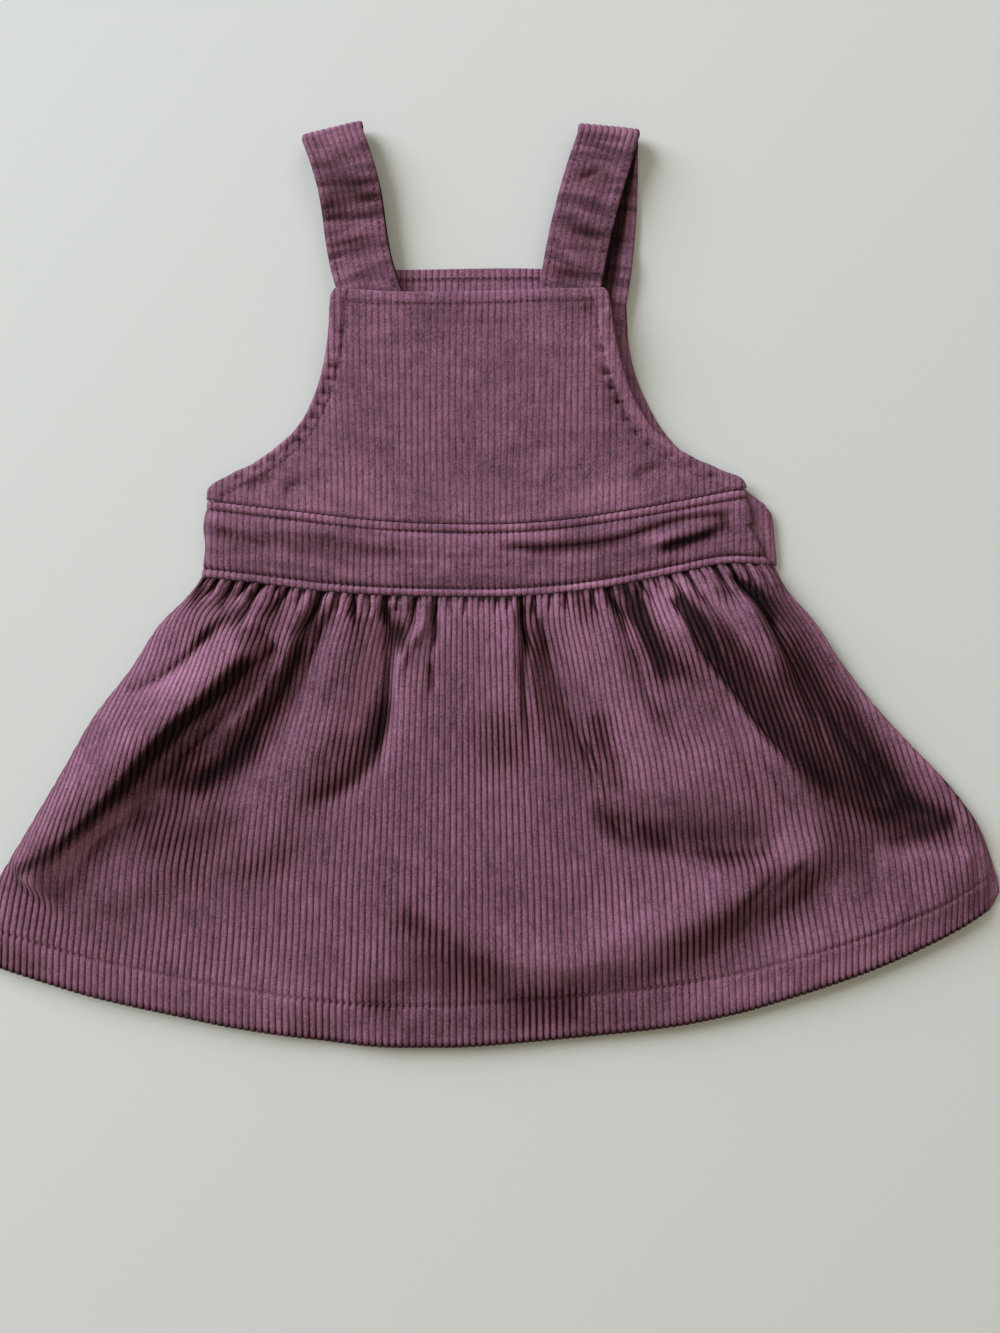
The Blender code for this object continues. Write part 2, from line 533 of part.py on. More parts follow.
def strap(name, end_x, end_y, fold_x, fold_y, front_lean, back_lean, back_x):
    """A self-lined band: up the front leg, over the fold and down the back leg."""
    stations = []                                   # middle point and lean of each section
    length = math.hypot(fold_x - end_x, fold_y - end_y)
    front_z = BACK_TOP + 2 * SEAM_GAP + 1.5 * STRAP_CLOTH + WALE_HEIGHT + FRONT_LEG_CLEAR
    back_z = STRAP_CLOTH / 2 + WALE_HEIGHT + TABLE_CLEAR
    top_z = back_z + 2 * FOLD_RADIUS
    for along, bump in WRINKLES[name]:
        share = along / length
        z = front_z + (top_z - front_z) * eased(share) + bump * WRINKLE_SHARE
        stations.append((end_x + (fold_x - end_x) * share, end_y + (fold_y - end_y) * share, z, front_lean))
    for turn in FOLD_TURNS:
        angle = math.radians(turn)
        share = turn / 180
        stations.append((fold_x, fold_y + FOLD_RADIUS * math.sin(angle),
                         back_z + FOLD_RADIUS * (1 + math.cos(angle)),
                         front_lean + (back_lean - front_lean) * share))
    inside_z = BACK_TOP + SEAM_GAP + STRAP_CLOTH / 2 + WALE_HEIGHT
    step_y, step_length = BODICE_STEP
    for y in BACK_LEG_ROWS:
        share = (fold_y - y) / (fold_y - BACK_LEG_END)
        z = back_z + (inside_z - back_z) * eased((step_y - y) / step_length)
        stations.append((fold_x + (back_x - fold_x) * share, y, z, back_lean))

    centres = np.array([station[:3] for station in stations])
    tangents = np.gradient(centres, axis=0)
    wales = int(STRAP_WIDTH / STRAP_WALE)
    columns = np.linspace(-STRAP_WIDTH / 2, STRAP_WIDTH / 2, 2 * wales + 1)
    thinner = EDGE_ROUNDING * np.abs(columns / (STRAP_WIDTH / 2)) ** 8
    mesh = bmesh.new()
    loops = []
    for (x, y, z, lean), tangent in zip(stations, tangents):
        across = np.array([math.cos(math.radians(lean)), math.sin(math.radians(lean)), 0.0])
        across -= tangent * (across @ tangent) / (tangent @ tangent)
        across /= np.linalg.norm(across)
        out = np.cross(across, tangent)
        out /= np.linalg.norm(out)
        middle = np.array([x, y, z])
        loop = []
        for k, offset in enumerate(columns):
            rib = WALE_HEIGHT if k % 2 and 0 < k < len(columns) - 1 else 0.0
            loop.append(middle + across * offset + out * (STRAP_CLOTH / 2 - thinner[k] + rib))
        for k in range(len(columns) - 1, -1, -LINING_STEP):
            loop.append(middle + across * columns[k] - out * (STRAP_CLOTH / 2 - thinner[k]))
        loops.append([mesh.verts.new(point * MM) for point in loop])
    for one, two in zip(loops, loops[1:]):
        for k in range(len(one)):
            after = (k + 1) % len(one)
            mesh.faces.new((one[k], one[after], two[after], two[k]))
    for loop in (loops[0], loops[-1]):
        mesh.faces.new(loop)
    bmesh.ops.triangulate(mesh, faces=mesh.faces)
    return finish(name, mesh)


def main():
    for item in list(bpy.data.objects):
        bpy.data.objects.remove(item)
    pieces = [back_skirt(), back_waistband(), back_bodice(), front_skirt(), front_waistband(), front_bib()]
    pieces += [strap(*row) for row in STRAPS]
    for item in pieces:
        item.data.materials.append(corduroy(item.name + "_cloth", COLOURS[item.name]))
    total = sum(len(item.data.polygons) for item in pieces)
    print("pieces:", len(pieces), "triangles:", total)


main()
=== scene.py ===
# %% [markdown]
# # A toddler's corduroy pinafore, laid flat
# The dress lies on its back on a table. It has a bib with armholes, a waistband, a gathered
# A-line skirt and two straps that are folded over. The construction model gives each sewn piece
# its place and its broad form. This lesson makes the cloth that is seen: ribs of corduroy, folds,
# gathers, turned edges and rows of stitches.
#
# All of it is in metres in the end, but a dressmaker thinks in millimetres, so the tables are in
# millimetres and one factor turns them into metres. X runs to the right, Y up to the straps and Z
# is the height above the table.

# %% Load the fixed frame
import math

import bpy
import numpy as np
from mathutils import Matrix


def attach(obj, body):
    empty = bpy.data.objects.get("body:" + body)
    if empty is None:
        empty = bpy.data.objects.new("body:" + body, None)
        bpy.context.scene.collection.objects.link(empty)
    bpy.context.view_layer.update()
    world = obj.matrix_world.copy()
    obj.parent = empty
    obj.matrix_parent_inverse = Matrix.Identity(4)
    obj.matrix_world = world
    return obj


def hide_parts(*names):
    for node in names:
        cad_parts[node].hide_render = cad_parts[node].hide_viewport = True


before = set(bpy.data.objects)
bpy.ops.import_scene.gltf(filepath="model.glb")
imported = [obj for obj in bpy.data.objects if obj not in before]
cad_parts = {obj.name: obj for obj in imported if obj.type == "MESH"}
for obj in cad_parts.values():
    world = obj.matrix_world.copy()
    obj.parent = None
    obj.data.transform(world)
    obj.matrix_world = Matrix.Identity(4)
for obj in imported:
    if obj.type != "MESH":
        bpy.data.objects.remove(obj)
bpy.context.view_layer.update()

MM = 0.001
print("sewn pieces:", sorted(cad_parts))

# %% [markdown]
# ## The cloth
# Corduroy is woven in ribs, called wales. A wale is a round-topped ridge of cut pile, and between
# two wales a narrow groove shows the darker ground. At this scale the wales are far too large to
# be left to a bump map: they are real ridges in the mesh, five columns of points to each wale.
# Three columns would give a triangular ridge, and more would cost triangles that nobody sees.

# %% Sizes of the cloth
WALE_PITCH = 3.0            # mm from one wale to the next, where the cloth lies flat
WALE_HEIGHT = 0.62
WALE_SHAPE = [              # across one wale: phase, share of the height
    (0.0, 0.0),
    (0.11, 0.66),
    (0.32, 0.97),
    (0.68, 0.97),
    (0.89, 0.66),
]
GROUND = 1.25               # cloth under a groove
SEAM_GAP = 0.3
EDGE_MARGIN = 0.12          # of a wale: a column closer to a cut line than this is left out
SHADED_SIDE = np.array([0.98, -0.17, 0.0])   # the way a face leans to get painted shade, roughly away from the window light
BACK_TOP = 1.5              # height of the back layer's inner side
BACK_BAND_TOP = 2.4
print("columns to a wale:", len(WALE_SHAPE))

# %% [markdown]
# ## Lines and the areas between them
# Each piece is an area between four lines: its top and bottom seams and its two sides. A few
# points and a smooth curve through them make a line, and a place inside is mixed from the four
# lines by its shares u across and v down. A filled curve would give the same outline, but these
# shares also tell how far a place is from each seam, and folds and turned edges need that.


# %% Smooth lines
def smooth_line(points, count=160):
    """Points evenly far apart along a smooth curve through `points` (Catmull-Rom)."""
    given = np.array(points, float)
    ends = np.vstack([2 * given[0] - given[1], given, 2 * given[-1] - given[-2]])
    t = np.linspace(0, 1, 24, endpoint=False)[:, None]
    pieces = []
    for a, b, c, d in zip(ends, ends[1:], ends[2:], ends[3:]):
        pieces.append(0.5 * (2 * b + (c - a) * t + (2 * a - 5 * b + 4 * c - d) * t ** 2
                             + (3 * b - a - 3 * c + d) * t ** 3))
    dense = np.vstack(pieces + [given[-1:]])
    run = np.concatenate([[0], np.cumsum(np.linalg.norm(np.diff(dense, axis=0), axis=1))])
    at = np.linspace(0, run[-1], count)
    return np.column_stack([np.interp(at, run, dense[:, k]) for k in range(dense.shape[1])])


def at_share(line, share):
    """The point of an evenly spaced line at a share, 0 to 1, of its length."""
    places = np.linspace(0, 1, len(line))
    return np.stack([np.interp(share, places, line[:, k]) for k in (0, 1)], axis=-1)


print("middle of a smooth line:", at_share(smooth_line([(0, 0), (10, 4), (20, 0)]), 0.5).round(2))


# %% An area between four lines
class Patch:
    """The flat area between a top, a bottom, a left and a right line (a Coons patch)."""

    def __init__(self, top, bottom, left, right):
        self.top, self.bottom = smooth_line(top), smooth_line(bottom)
        self.left, self.right = smooth_line(left), smooth_line(right)

    def points(self, u, v):
        """Plan points at shares u across and v down, two arrays of one shape."""
        u, v = (np.asarray(share, float)[..., None] for share in (u, v))
        corners = ((1 - u) * (1 - v) * self.top[0] + u * (1 - v) * self.top[-1]
                   + (1 - u) * v * self.bottom[0] + u * v * self.bottom[-1])
        across = (1 - v) * at_share(self.top, u[..., 0]) + v * at_share(self.bottom, u[..., 0])
        down = (1 - u) * at_share(self.left, v[..., 0]) + u * at_share(self.right, v[..., 0])
        return across + down - corners


square = Patch([(0, 9), (9, 9)], [(0, 0), (9, 0)], [(0, 9), (0, 0)], [(9, 9), (9, 0)])
print("a third across and down a square of 9 mm:", square.points(1 / 3, 1 / 3).round(2))


# %% Soft steps and tables
def eased(share):
    """A soft step from 0 to 1."""
    share = np.clip(share, 0, 1)
    return share * share * (3 - 2 * share)


def round_edge(distance, radius):
    """Rises from 0 at an edge to 1 at `radius` from it, as a quarter circle does."""
    away = 1 - np.clip(distance / radius, 0, 1)
    return np.sqrt(1 - away ** 2)


def table_value(table, at):
    """A value between those of a table of place and value."""
    places, values = zip(*table)
    return np.interp(at, places, values)


def beyond(points, dx, dy):
    """The same line, moved."""
    return [(x + dx, y + dy) for x, y in points]


print("a soft step at a quarter, a half and three quarters:", eased(np.array([0.25, 0.5, 0.75])))

# %% [markdown]
# ## Folds
# A fold is a soft ridge or trough along a line. Cloth folds are rarely even: one side is steep
# and the other long, and they grow out of a seam or die out into flat cloth. So each row of a
# fold table has a name, a height, a width to the left and to the right of the line, the shares of
# the line over which the fold rises and dies out, and the line. The height at a place is the sum
# over the table. A sculpting brush could draw folds too, but a table can be read and mended.


# %% Height of a table of folds
FOLD_PROFILE = 1.7          # shape across a fold: 2 is a round bell, 1 a sharp edge


def fold_heights(x, y, folds):
    """Summed height of the folds of a table at plan points, two arrays of one shape."""
    total = np.zeros_like(x)
    for name, height, left, right, rise, fall, points in folds:
        line = smooth_line(points, 20)
        reach = 3 * max(left, right)
        near = ((x > line[:, 0].min() - reach) & (x < line[:, 0].max() + reach)
                & (y > line[:, 1].min() - reach) & (y < line[:, 1].max() + reach))
        spot = np.column_stack([x[near], y[near]])
        best = np.full(len(spot), np.inf)
        offset = np.zeros(len(spot))
        place = np.zeros(len(spot))
        for k, (start, step) in enumerate(zip(line, np.diff(line, axis=0))):
            away = spot - start
            share = np.clip(away @ step / (step @ step), 0, 1)
            miss = away - share[:, None] * step
            distance = np.hypot(miss[:, 0], miss[:, 1])
            side = np.sign(step[0] * away[:, 1] - step[1] * away[:, 0])
            closer = distance < best
            best[closer] = distance[closer]
            offset[closer] = (distance * side)[closer]
            place[closer] = (k + share[closer]) / (len(line) - 1)
        fade = eased(place / rise if rise else 1.0) * eased((1 - place) / fall if fall else 1.0)
        width = np.where(offset > 0, left, right)
        total[near] += height * fade * np.exp(-np.abs(offset / width) ** FOLD_PROFILE)
    return total


sample = [("sample", 5.0, 5, 5, 0, 0, [(0, -20), (0, 0), (0, 20)])]
heights = fold_heights(np.array([0.0, 5.0, 10.0]), np.zeros(3), sample)
print("a fold 5 mm high and wide, at its line and 5 and 10 mm beside it:", heights.round(2))

# %% [markdown]
# ## Weaving a piece
# A piece of corduroy is a wall with an outer and an inner face. Its outer face has a column of
# points at five places of each wale, and the columns run along the wales. A rectangular grid
# can't do that on an A-line skirt, because wales run off at the side seams. So each row keeps
# just the columns that lie between its two ends, and neighbouring rows are sewn together in
# order of place: a quad where both have a column, a triangle where one has ended. The inner face
# is smooth and much coarser. It hardly shows, but it makes the wall a closed body.
#
# Each point also stores its wale number, its distance along the cloth, its painted shade (from how
# deep in a fold it lies, and from strips of painted shade and light) and how far its face leans to
# the side that gets painted shade. The material reads these, so that the dark grooves follow the
# cloth wherever it goes.


# %% Sew two rows of points together
def sew(first, second):
    """Faces between two lines of (place, vertex), taken in order of place."""
    faces = []
    i = j = 0
    while i < len(first) - 1 or j < len(second) - 1:
        next_i = first[i + 1][0] if i < len(first) - 1 else math.inf
        next_j = second[j + 1][0] if j < len(second) - 1 else math.inf
        if abs(next_i - next_j) < 1e-6:
            faces.append((first[i][1], first[i + 1][1], second[j + 1][1], second[j][1]))
            i, j = i + 1, j + 1
        elif next_i < next_j:
            faces.append((first[i][1], first[i + 1][1], second[j][1]))
            i += 1
        else:
            faces.append((first[i][1], second[j + 1][1], second[j][1]))
            j += 1
    return faces


upper, lower = [(0, 0), (1, 1), (2, 2)], [(0, 3), (2, 4)]
print("faces between rows of three and two points:", sew(upper, lower))


# %% Ribs and averages
def wale_relief(wale):
    """Height of the pile, 0 in a groove to 1 on a wale's top, at wale numbers."""
    phases, heights = zip(*WALE_SHAPE, (1.0, 0.0))
    return np.interp(wale % 1.0, phases, heights)


def blurred(heights, rows, columns):
    """Heights averaged over a box of rows and columns, edges repeated."""
    for axis, reach in ((0, rows), (1, columns)):
        padding = [(0, 0), (0, 0)]
        padding[axis] = (reach + 1, reach)
        total = np.cumsum(np.pad(heights, padding, mode="edge"), axis=axis)
        high = np.take(total, range(2 * reach + 1, total.shape[axis]), axis=axis)
        low = np.take(total, range(0, total.shape[axis] - 2 * reach - 1), axis=axis)
        heights = (high - low) / (2 * reach + 1)
    return heights


def lowest_near(heights, reach):
    """The lowest height within `reach` columns of each point of each row."""
    padded = np.pad(heights, ((0, 0), (reach, reach)), mode="edge")
    shifts = [padded[:, k:k + heights.shape[1]] for k in range(2 * reach + 1)]
    return np.min(shifts, axis=0)


print("height across a wale, mm:", (wale_relief(np.linspace(0, 1, 6)) * WALE_HEIGHT).round(2))


# %% A mesh with stored values
def mesh_object(name, points, faces, **values):
    """A mesh object from points in millimetres, with a stored value for each point."""
    mesh = bpy.data.meshes.new(name)
    mesh.from_pydata((np.asarray(points) * MM).tolist(), [], faces)
    for key, numbers in values.items():
        stored = mesh.attributes.new(key, "FLOAT", "POINT")
        stored.data.foreach_set("value", np.asarray(numbers, np.float32))
    item = bpy.data.objects.new(name, mesh)
    bpy.context.collection.objects.link(item)
    bpy.ops.object.select_all(action="DESELECT")
    bpy.context.view_layer.objects.active = item
    item.select_set(True)
    bpy.ops.object.mode_set(mode="EDIT")
    bpy.ops.mesh.select_all(action="SELECT")
    bpy.ops.mesh.normals_make_consistent(inside=False)
    bpy.ops.object.mode_set(mode="OBJECT")
    bpy.ops.object.shade_smooth()
    mesh.calc_loop_triangles()
    print(name, len(mesh.loop_triangles), "triangles")
    return item


print("one unit of the tables is", MM, "m")


# %% The smooth surface of a piece
CREASE_WEIGHT = 3.5         # a narrow crease gets this much more painted shade than a broad hollow as deep
CREASE_LEAST = 0.1          # mm that are too shallow to be a crease


class Cloth:
    """A woven wall: the smooth surface of one piece, and how its wales run over it.

    `height` and `darker` take the shares u across and v down and the plan place x, y.
    `shade` says how much painted shade the hollows of the form get, and `darker` adds painted shade or light.
    """

    def __init__(self, patch, rows, height, wales, samples=1200, shade=1.0, darker=None):
        self.rows = np.array(rows)
        u, v = np.meshgrid(np.linspace(0, 1, samples), self.rows)
        plan = patch.points(u, v)
        self.surface = np.dstack([plan, height(u, v, plan[..., 0], plan[..., 1])])
        self.wale = wales(self)
        along = np.linalg.norm(np.diff(self.surface, axis=0), axis=2)
        self.along = np.concatenate([np.zeros((1, samples)), np.cumsum(along, axis=0)])
        across = np.gradient(self.surface, axis=1)
        down = np.gradient(self.surface, axis=0)
        normal = np.cross(down, across)
        self.normal = normal / np.linalg.norm(normal, axis=2, keepdims=True)
        height = self.surface[..., 2]
        around = np.maximum(blurred(height, 5, samples // 60), blurred(height, 14, samples // 20))
        beside = blurred(height, 1, samples // 150)
        creases = CREASE_WEIGHT * np.maximum(beside - height - CREASE_LEAST, 0)
        # painted shade: darker where the form lies below its surroundings, most in narrow creases
        self.hollow = shade * (around - height + creases)
        # the piece's own painted shade and light
        if darker:
            self.hollow += darker(u, self.rows[:, None], plan[..., 0], plan[..., 1])
        # how far the face leans to the side that gets painted shade
        self.tilt = self.normal @ SHADED_SIDE
        self.inner = lowest_near(height, samples // 150)

    def on(self, x, y):
        """The place on the cloth, and its normal, nearest above a plan point."""
        gap = np.hypot(self.surface[..., 0] - x, self.surface[..., 1] - y)
        spot = np.unravel_index(gap.argmin(), gap.shape)
        return self.surface[spot], self.normal[spot]

    def cut(self):
        """Width, length and area in metres of the flat cloth that the piece is cut from."""
        across = np.linalg.norm(np.diff(self.surface, axis=1), axis=2)
        down = np.linalg.norm(np.diff(self.surface, axis=0), axis=2)
        area = (across[:-1] * down[:, :-1]).sum()
        return across.sum(axis=1).max() * MM, down.sum(axis=0).max() * MM, area * MM * MM

    def at(self, k, wales, *grids):
        """Values of row k at wale numbers."""
        found = []
        for grid in grids:
            layers = grid[k] if grid.ndim == 3 else grid[k][:, None]
            values = [np.interp(wales, self.wale[k], layers[:, n]) for n in range(layers.shape[1])]
            found.append(np.stack(values, axis=-1) if grid.ndim == 3 else values[0])
        return found


swatch = Cloth(square, [0, 0.5, 1], height=lambda u, v, x, y: 0 * x,
               wales=lambda cloth: cloth.surface[..., 0] / WALE_PITCH)
print("width, length and area of a square of cloth, m:", [round(part, 6) for part in swatch.cut()])


# %% Columns of points along the wales
def wale_columns(low, high):
    """Places of the outer and of the inner face's columns between two cut lines, in wales."""
    phases = np.array([phase for phase, height in WALE_SHAPE])
    whole = np.arange(math.floor(low), math.ceil(high) + 1)
    fine = (whole[:, None] + phases).ravel()
    fine = fine[(fine > low + EDGE_MARGIN) & (fine < high - EDGE_MARGIN)]
    coarse = whole[(whole > low + 0.5) & (whole < high - 0.5)]
    return [np.concatenate([[low], columns, [high]]) for columns in (fine, coarse)]


print("columns of a piece that is two wales wide:", wale_columns(0.0, 2.0)[0])


# %% The woven wall
def weave(name, cloth, floor, inner_step=2, thickness=None, ribs=1.0, face_down=False):
    """The closed wall of one piece. `floor` is the lowest height of its inner face.

    `ribs` scales the wales' height, all over or by row. A wall that lies face down has its
    wales on the underside, whose tops rest on the table.
    """
    points, stored, outer, inner = [], [], [], []
    count = len(cloth.rows)
    thickness = np.full(count, GROUND) if thickness is None else thickness
    ribs = np.full(count, float(ribs)) if np.isscalar(ribs) else ribs

    def add(line, places, *values):
        """Adds a row of points and gives their (place, vertex)."""
        first = len(points)
        points.extend(places)
        stored.extend(zip(line, *values))
        return [(place, first + n) for n, place in enumerate(line)]

    for k in range(count):
        fine, coarse = wale_columns(cloth.wale[k][0], cloth.wale[k][-1])
        surface, normal, *values = cloth.at(
            k, fine, cloth.surface, cloth.normal, cloth.along, cloth.hollow, cloth.tilt)
        pile = wale_relief(fine) * WALE_HEIGHT * ribs[k]
        if face_down:
            surface[:, 2] = WALE_HEIGHT * ribs[k] - pile
        else:
            surface += normal * pile[:, None]
        outer.append(add(fine, surface, *values))
        if k % inner_step == 0 or k == count - 1:
            surface, low, *values = cloth.at(
                k, coarse, cloth.surface, cloth.inner, cloth.along, cloth.hollow)
            if not face_down:
                surface[:, 2] = np.maximum(low - thickness[k], floor)
            inner.append((k, add(coarse, surface, *values, np.zeros(len(coarse)))))
    faces = []
    for rows in (outer, [line for k, line in inner]):
        for upper, lower in zip(rows, rows[1:]):
            faces += sew(upper, lower)
    faces += sew(outer[0], inner[0][1]) + sew(outer[-1], inner[-1][1])
    for end in (0, -1):
        faces += sew([(k, line[end][1]) for k, line in enumerate(outer)],
                     [(k, line[end][1]) for k, line in inner])
    wale, along, hollow, tilt = np.array(stored).T
    return mesh_object(name, points, faces, wale=wale, along=along, hollow=hollow, tilt=tilt)


print("a wall of corduroy is", GROUND + WALE_HEIGHT, "mm thick at a wale's top")


# %% How the wales run, and where the rows lie
def upright_wales(centre_x, pitch):
    """Wales straight up the garment, with the slight wander of handled cloth."""
    def number(cloth):
        x, y = cloth.surface[..., 0], cloth.surface[..., 1]
        wander = 0.35 * np.sin(x / 23.0 + y / 31.0) + 0.25 * np.sin(x / 9.0 - y / 17.0 + 2.0)
        return (x + wander - centre_x) / pitch
    return number


def spread(*stretches):
    """Shares for rows: each stretch is (start, end, how many rows)."""
    return np.unique(np.concatenate([np.linspace(start, end, count) for start, end, count in stretches]))


print("rows of two stretches:", spread((0, 0.5, 3), (0.5, 1, 2)))

# %% [markdown]
# ## The front skirt
# The skirt is the largest piece. It swells a little over the back skirt, rolls down to its side
# seams and carries the big folds. Under the waistband it is gathered: short pleats, each of its
# own depth and length. The wales are counted along the folded cloth, not in plan, so they crowd
# on the side of a fold as woven cloth does, and they fan out from the waist to the hem. The folds
# could come from a cloth simulation, but then they would lie where chance puts them, so each has
# its own row in a table.

# %% Cut lines of the skirt, millimetres from the middle of the dress
WAIST_SEAM = [(-132, 3.5), (-105, 0.5), (-77, -3), (-48, -5), (-4, -5.8), (26, -4.5), (55, -1), (85, 5),
              (108, 9.5), (129, 9)]
HEM = [(-235.5, -172), (-202, -183), (-178, -190), (-142, -198), (-112, -204), (-60, -211), (-30, -212),
       (1, -211), (73, -204), (109, -197.5), (134, -190.5), (174, -177), (205, -163), (228, -150)]
SKIRT_LEFT = [(-132, 3.5), (-139, -6), (-152, -19), (-165, -39), (-182, -61), (-197, -87), (-214, -116),
              (-227, -138), (-234, -156), (-235.5, -172)]
SKIRT_RIGHT = [(129, 9), (137, -3), (150, -18), (164, -39), (180, -59), (195, -75), (212, -93), (223, -109),
               (228, -124), (228.5, -150)]
print("points of the waist seam and of the hem:", len(WAIST_SEAM), len(HEM))

# %% Broad folds of the skirt: name, height, width left, width right, rise, fall, line
BIG_FOLDS = [
    ("side ridge", 10.5, 13, 17, 0.1, 0.06,
     [(-99, -24), (-114, -35), (-131, -51), (-151, -71), (-172, -95), (-192, -117), (-213, -139)]),
    ("side trough", -4.5, 8, 9, 0.1, 0.2,
     [(-93, -25), (-103, -44), (-120, -65), (-144, -85), (-163, -103), (-182, -121), (-201, -135)]),
    ("thin ridge", 5.0, 5, 5, 0.0, 0.3, [(-83, -10), (-90, -28), (-102, -48), (-115, -62), (-133, -79)]),
    ("left trough", -5.5, 9, 8, 0.0, 0.2,
     [(-76, -11), (-85, -30), (-94, -53), (-107, -73), (-125, -91), (-142, -99)]),
    ("left ridge", 2.0, 10, 12, 0.0, 0.45,
     [(-58, -6), (-61, -32), (-68, -56), (-81, -78), (-94, -98), (-105, -118), (-113, -138)]),
    ("middle left trough", -4.6, 4, 14, 0.0, 0.6,
     [(-47, -8), (-46, -30), (-47, -53), (-51, -73), (-64, -92), (-84, -107)]),
    ("middle left ridge", 1.0, 18, 9, 0.15, 0.5,
     [(-40, -12), (-37, -30), (-38, -52), (-42, -75), (-48, -98), (-53, -121)]),
    ("middle ridge", 4.5, 8, 22, 0.0, 0.5,
     [(10, -6), (13, -32), (19, -56), (28, -78), (40, -96), (54, -110)]),
    ("middle right trough", -4.8, 15, 6, 0.0, 0.6,
     [(22, -4), (26, -34), (34, -55), (45, -76), (56, -94), (72, -110)]),
    ("right ridge", 4.5, 12, 18, 0.0, 0.55,
     [(50, -2), (60, -28), (72, -52), (85, -74), (98, -92), (112, -102)]),
    ("right trough", -5.0, 8, 8, 0.0, 0.4, [(54, -6), (63, -25), (73, -48), (87, -71), (101, -87)]),
    ("high ridge", 11.5, 38, 26, 0.0, 0.5,
     [(81, -4), (99, -32), (111, -51), (126, -73), (148, -98), (168, -118), (190, -140)]),
    ("high crest", 3.5, 8, 12, 0.1, 0.5,
     [(80, -4), (98, -32), (110, -51), (125, -73), (147, -98), (164, -114)]),
    ("short ridge", 4.5, 5, 6, 0.2, 0.4, [(112, -2), (122, -20), (131, -36), (138, -48)]),
    ("edge trough", -5.5, 8, 26, 0.0, 0.1,
     [(131, 0), (146, -20), (160, -41), (176, -61), (191, -77), (207, -94), (219, -109)]),
    ("edge ridge", 1.2, 4, 4, 0.3, 0.2, [(166, -44), (181, -61), (196, -77), (211, -94), (221, -112)]),
    ("pocket", -7.0, 11, 5, 0.3, 0.2,
     [(46, -96), (58, -110), (75, -118), (96, -121), (118, -122), (138, -122)]),
    ("belly", 4.5, 26, 15, 0.4, 0.5, [(32, -78), (65, -88), (95, -94), (132, -104)]),
    ("corner shelf", 3.0, 5, 16, 0.2, 0.15, [(172, -124), (190, -125), (207, -125), (224, -124)]),
    ("knee", 4.5, 13, 19, 0.25, 0.15,
     [(30, -168), (55, -163), (78, -156), (101, -147), (124, -135), (145, -122), (163, -113)]),
    ("hem trough", -4.5, 9, 11, 0.1, 0.2,
     [(166, -129), (148, -142), (124, -158), (97, -175), (69, -187), (37, -193), (8, -192), (-20, -188),
      (-46, -180)]),
    ("hem corner", 2.5, 12, 12, 0.2, 0.3,
     [(225, -138), (203, -145), (175, -157), (143, -171), (115, -184)]),
    ("hem swell", 4.8, 11, 10, 0.25, 0.3, [(-58, -156), (-30, -163), (5, -169), (36, -173), (64, -170)]),
    ("hem dent left", -2.6, 6, 8, 0.5, 0.5, [(-64, -185), (-46, -188), (-20, -184)]),
    ("hem dent low", -2.2, 6, 7, 0.5, 0.5, [(-95, -203), (-74, -205), (-50, -203)]),
    ("hem bump left", 1.6, 9, 8, 0.5, 0.5, [(-112, -188), (-95, -191), (-70, -189)]),
    ("left shelf", 2.0, 12, 12, 0.3, 0.3, [(-205, -150), (-178, -142), (-150, -130), (-128, -116)]),
    ("left dimple", -3.0, 8, 9, 0.3, 0.3, [(-168, -110), (-150, -104), (-130, -103)]),
]
print("broad folds:", len(BIG_FOLDS))

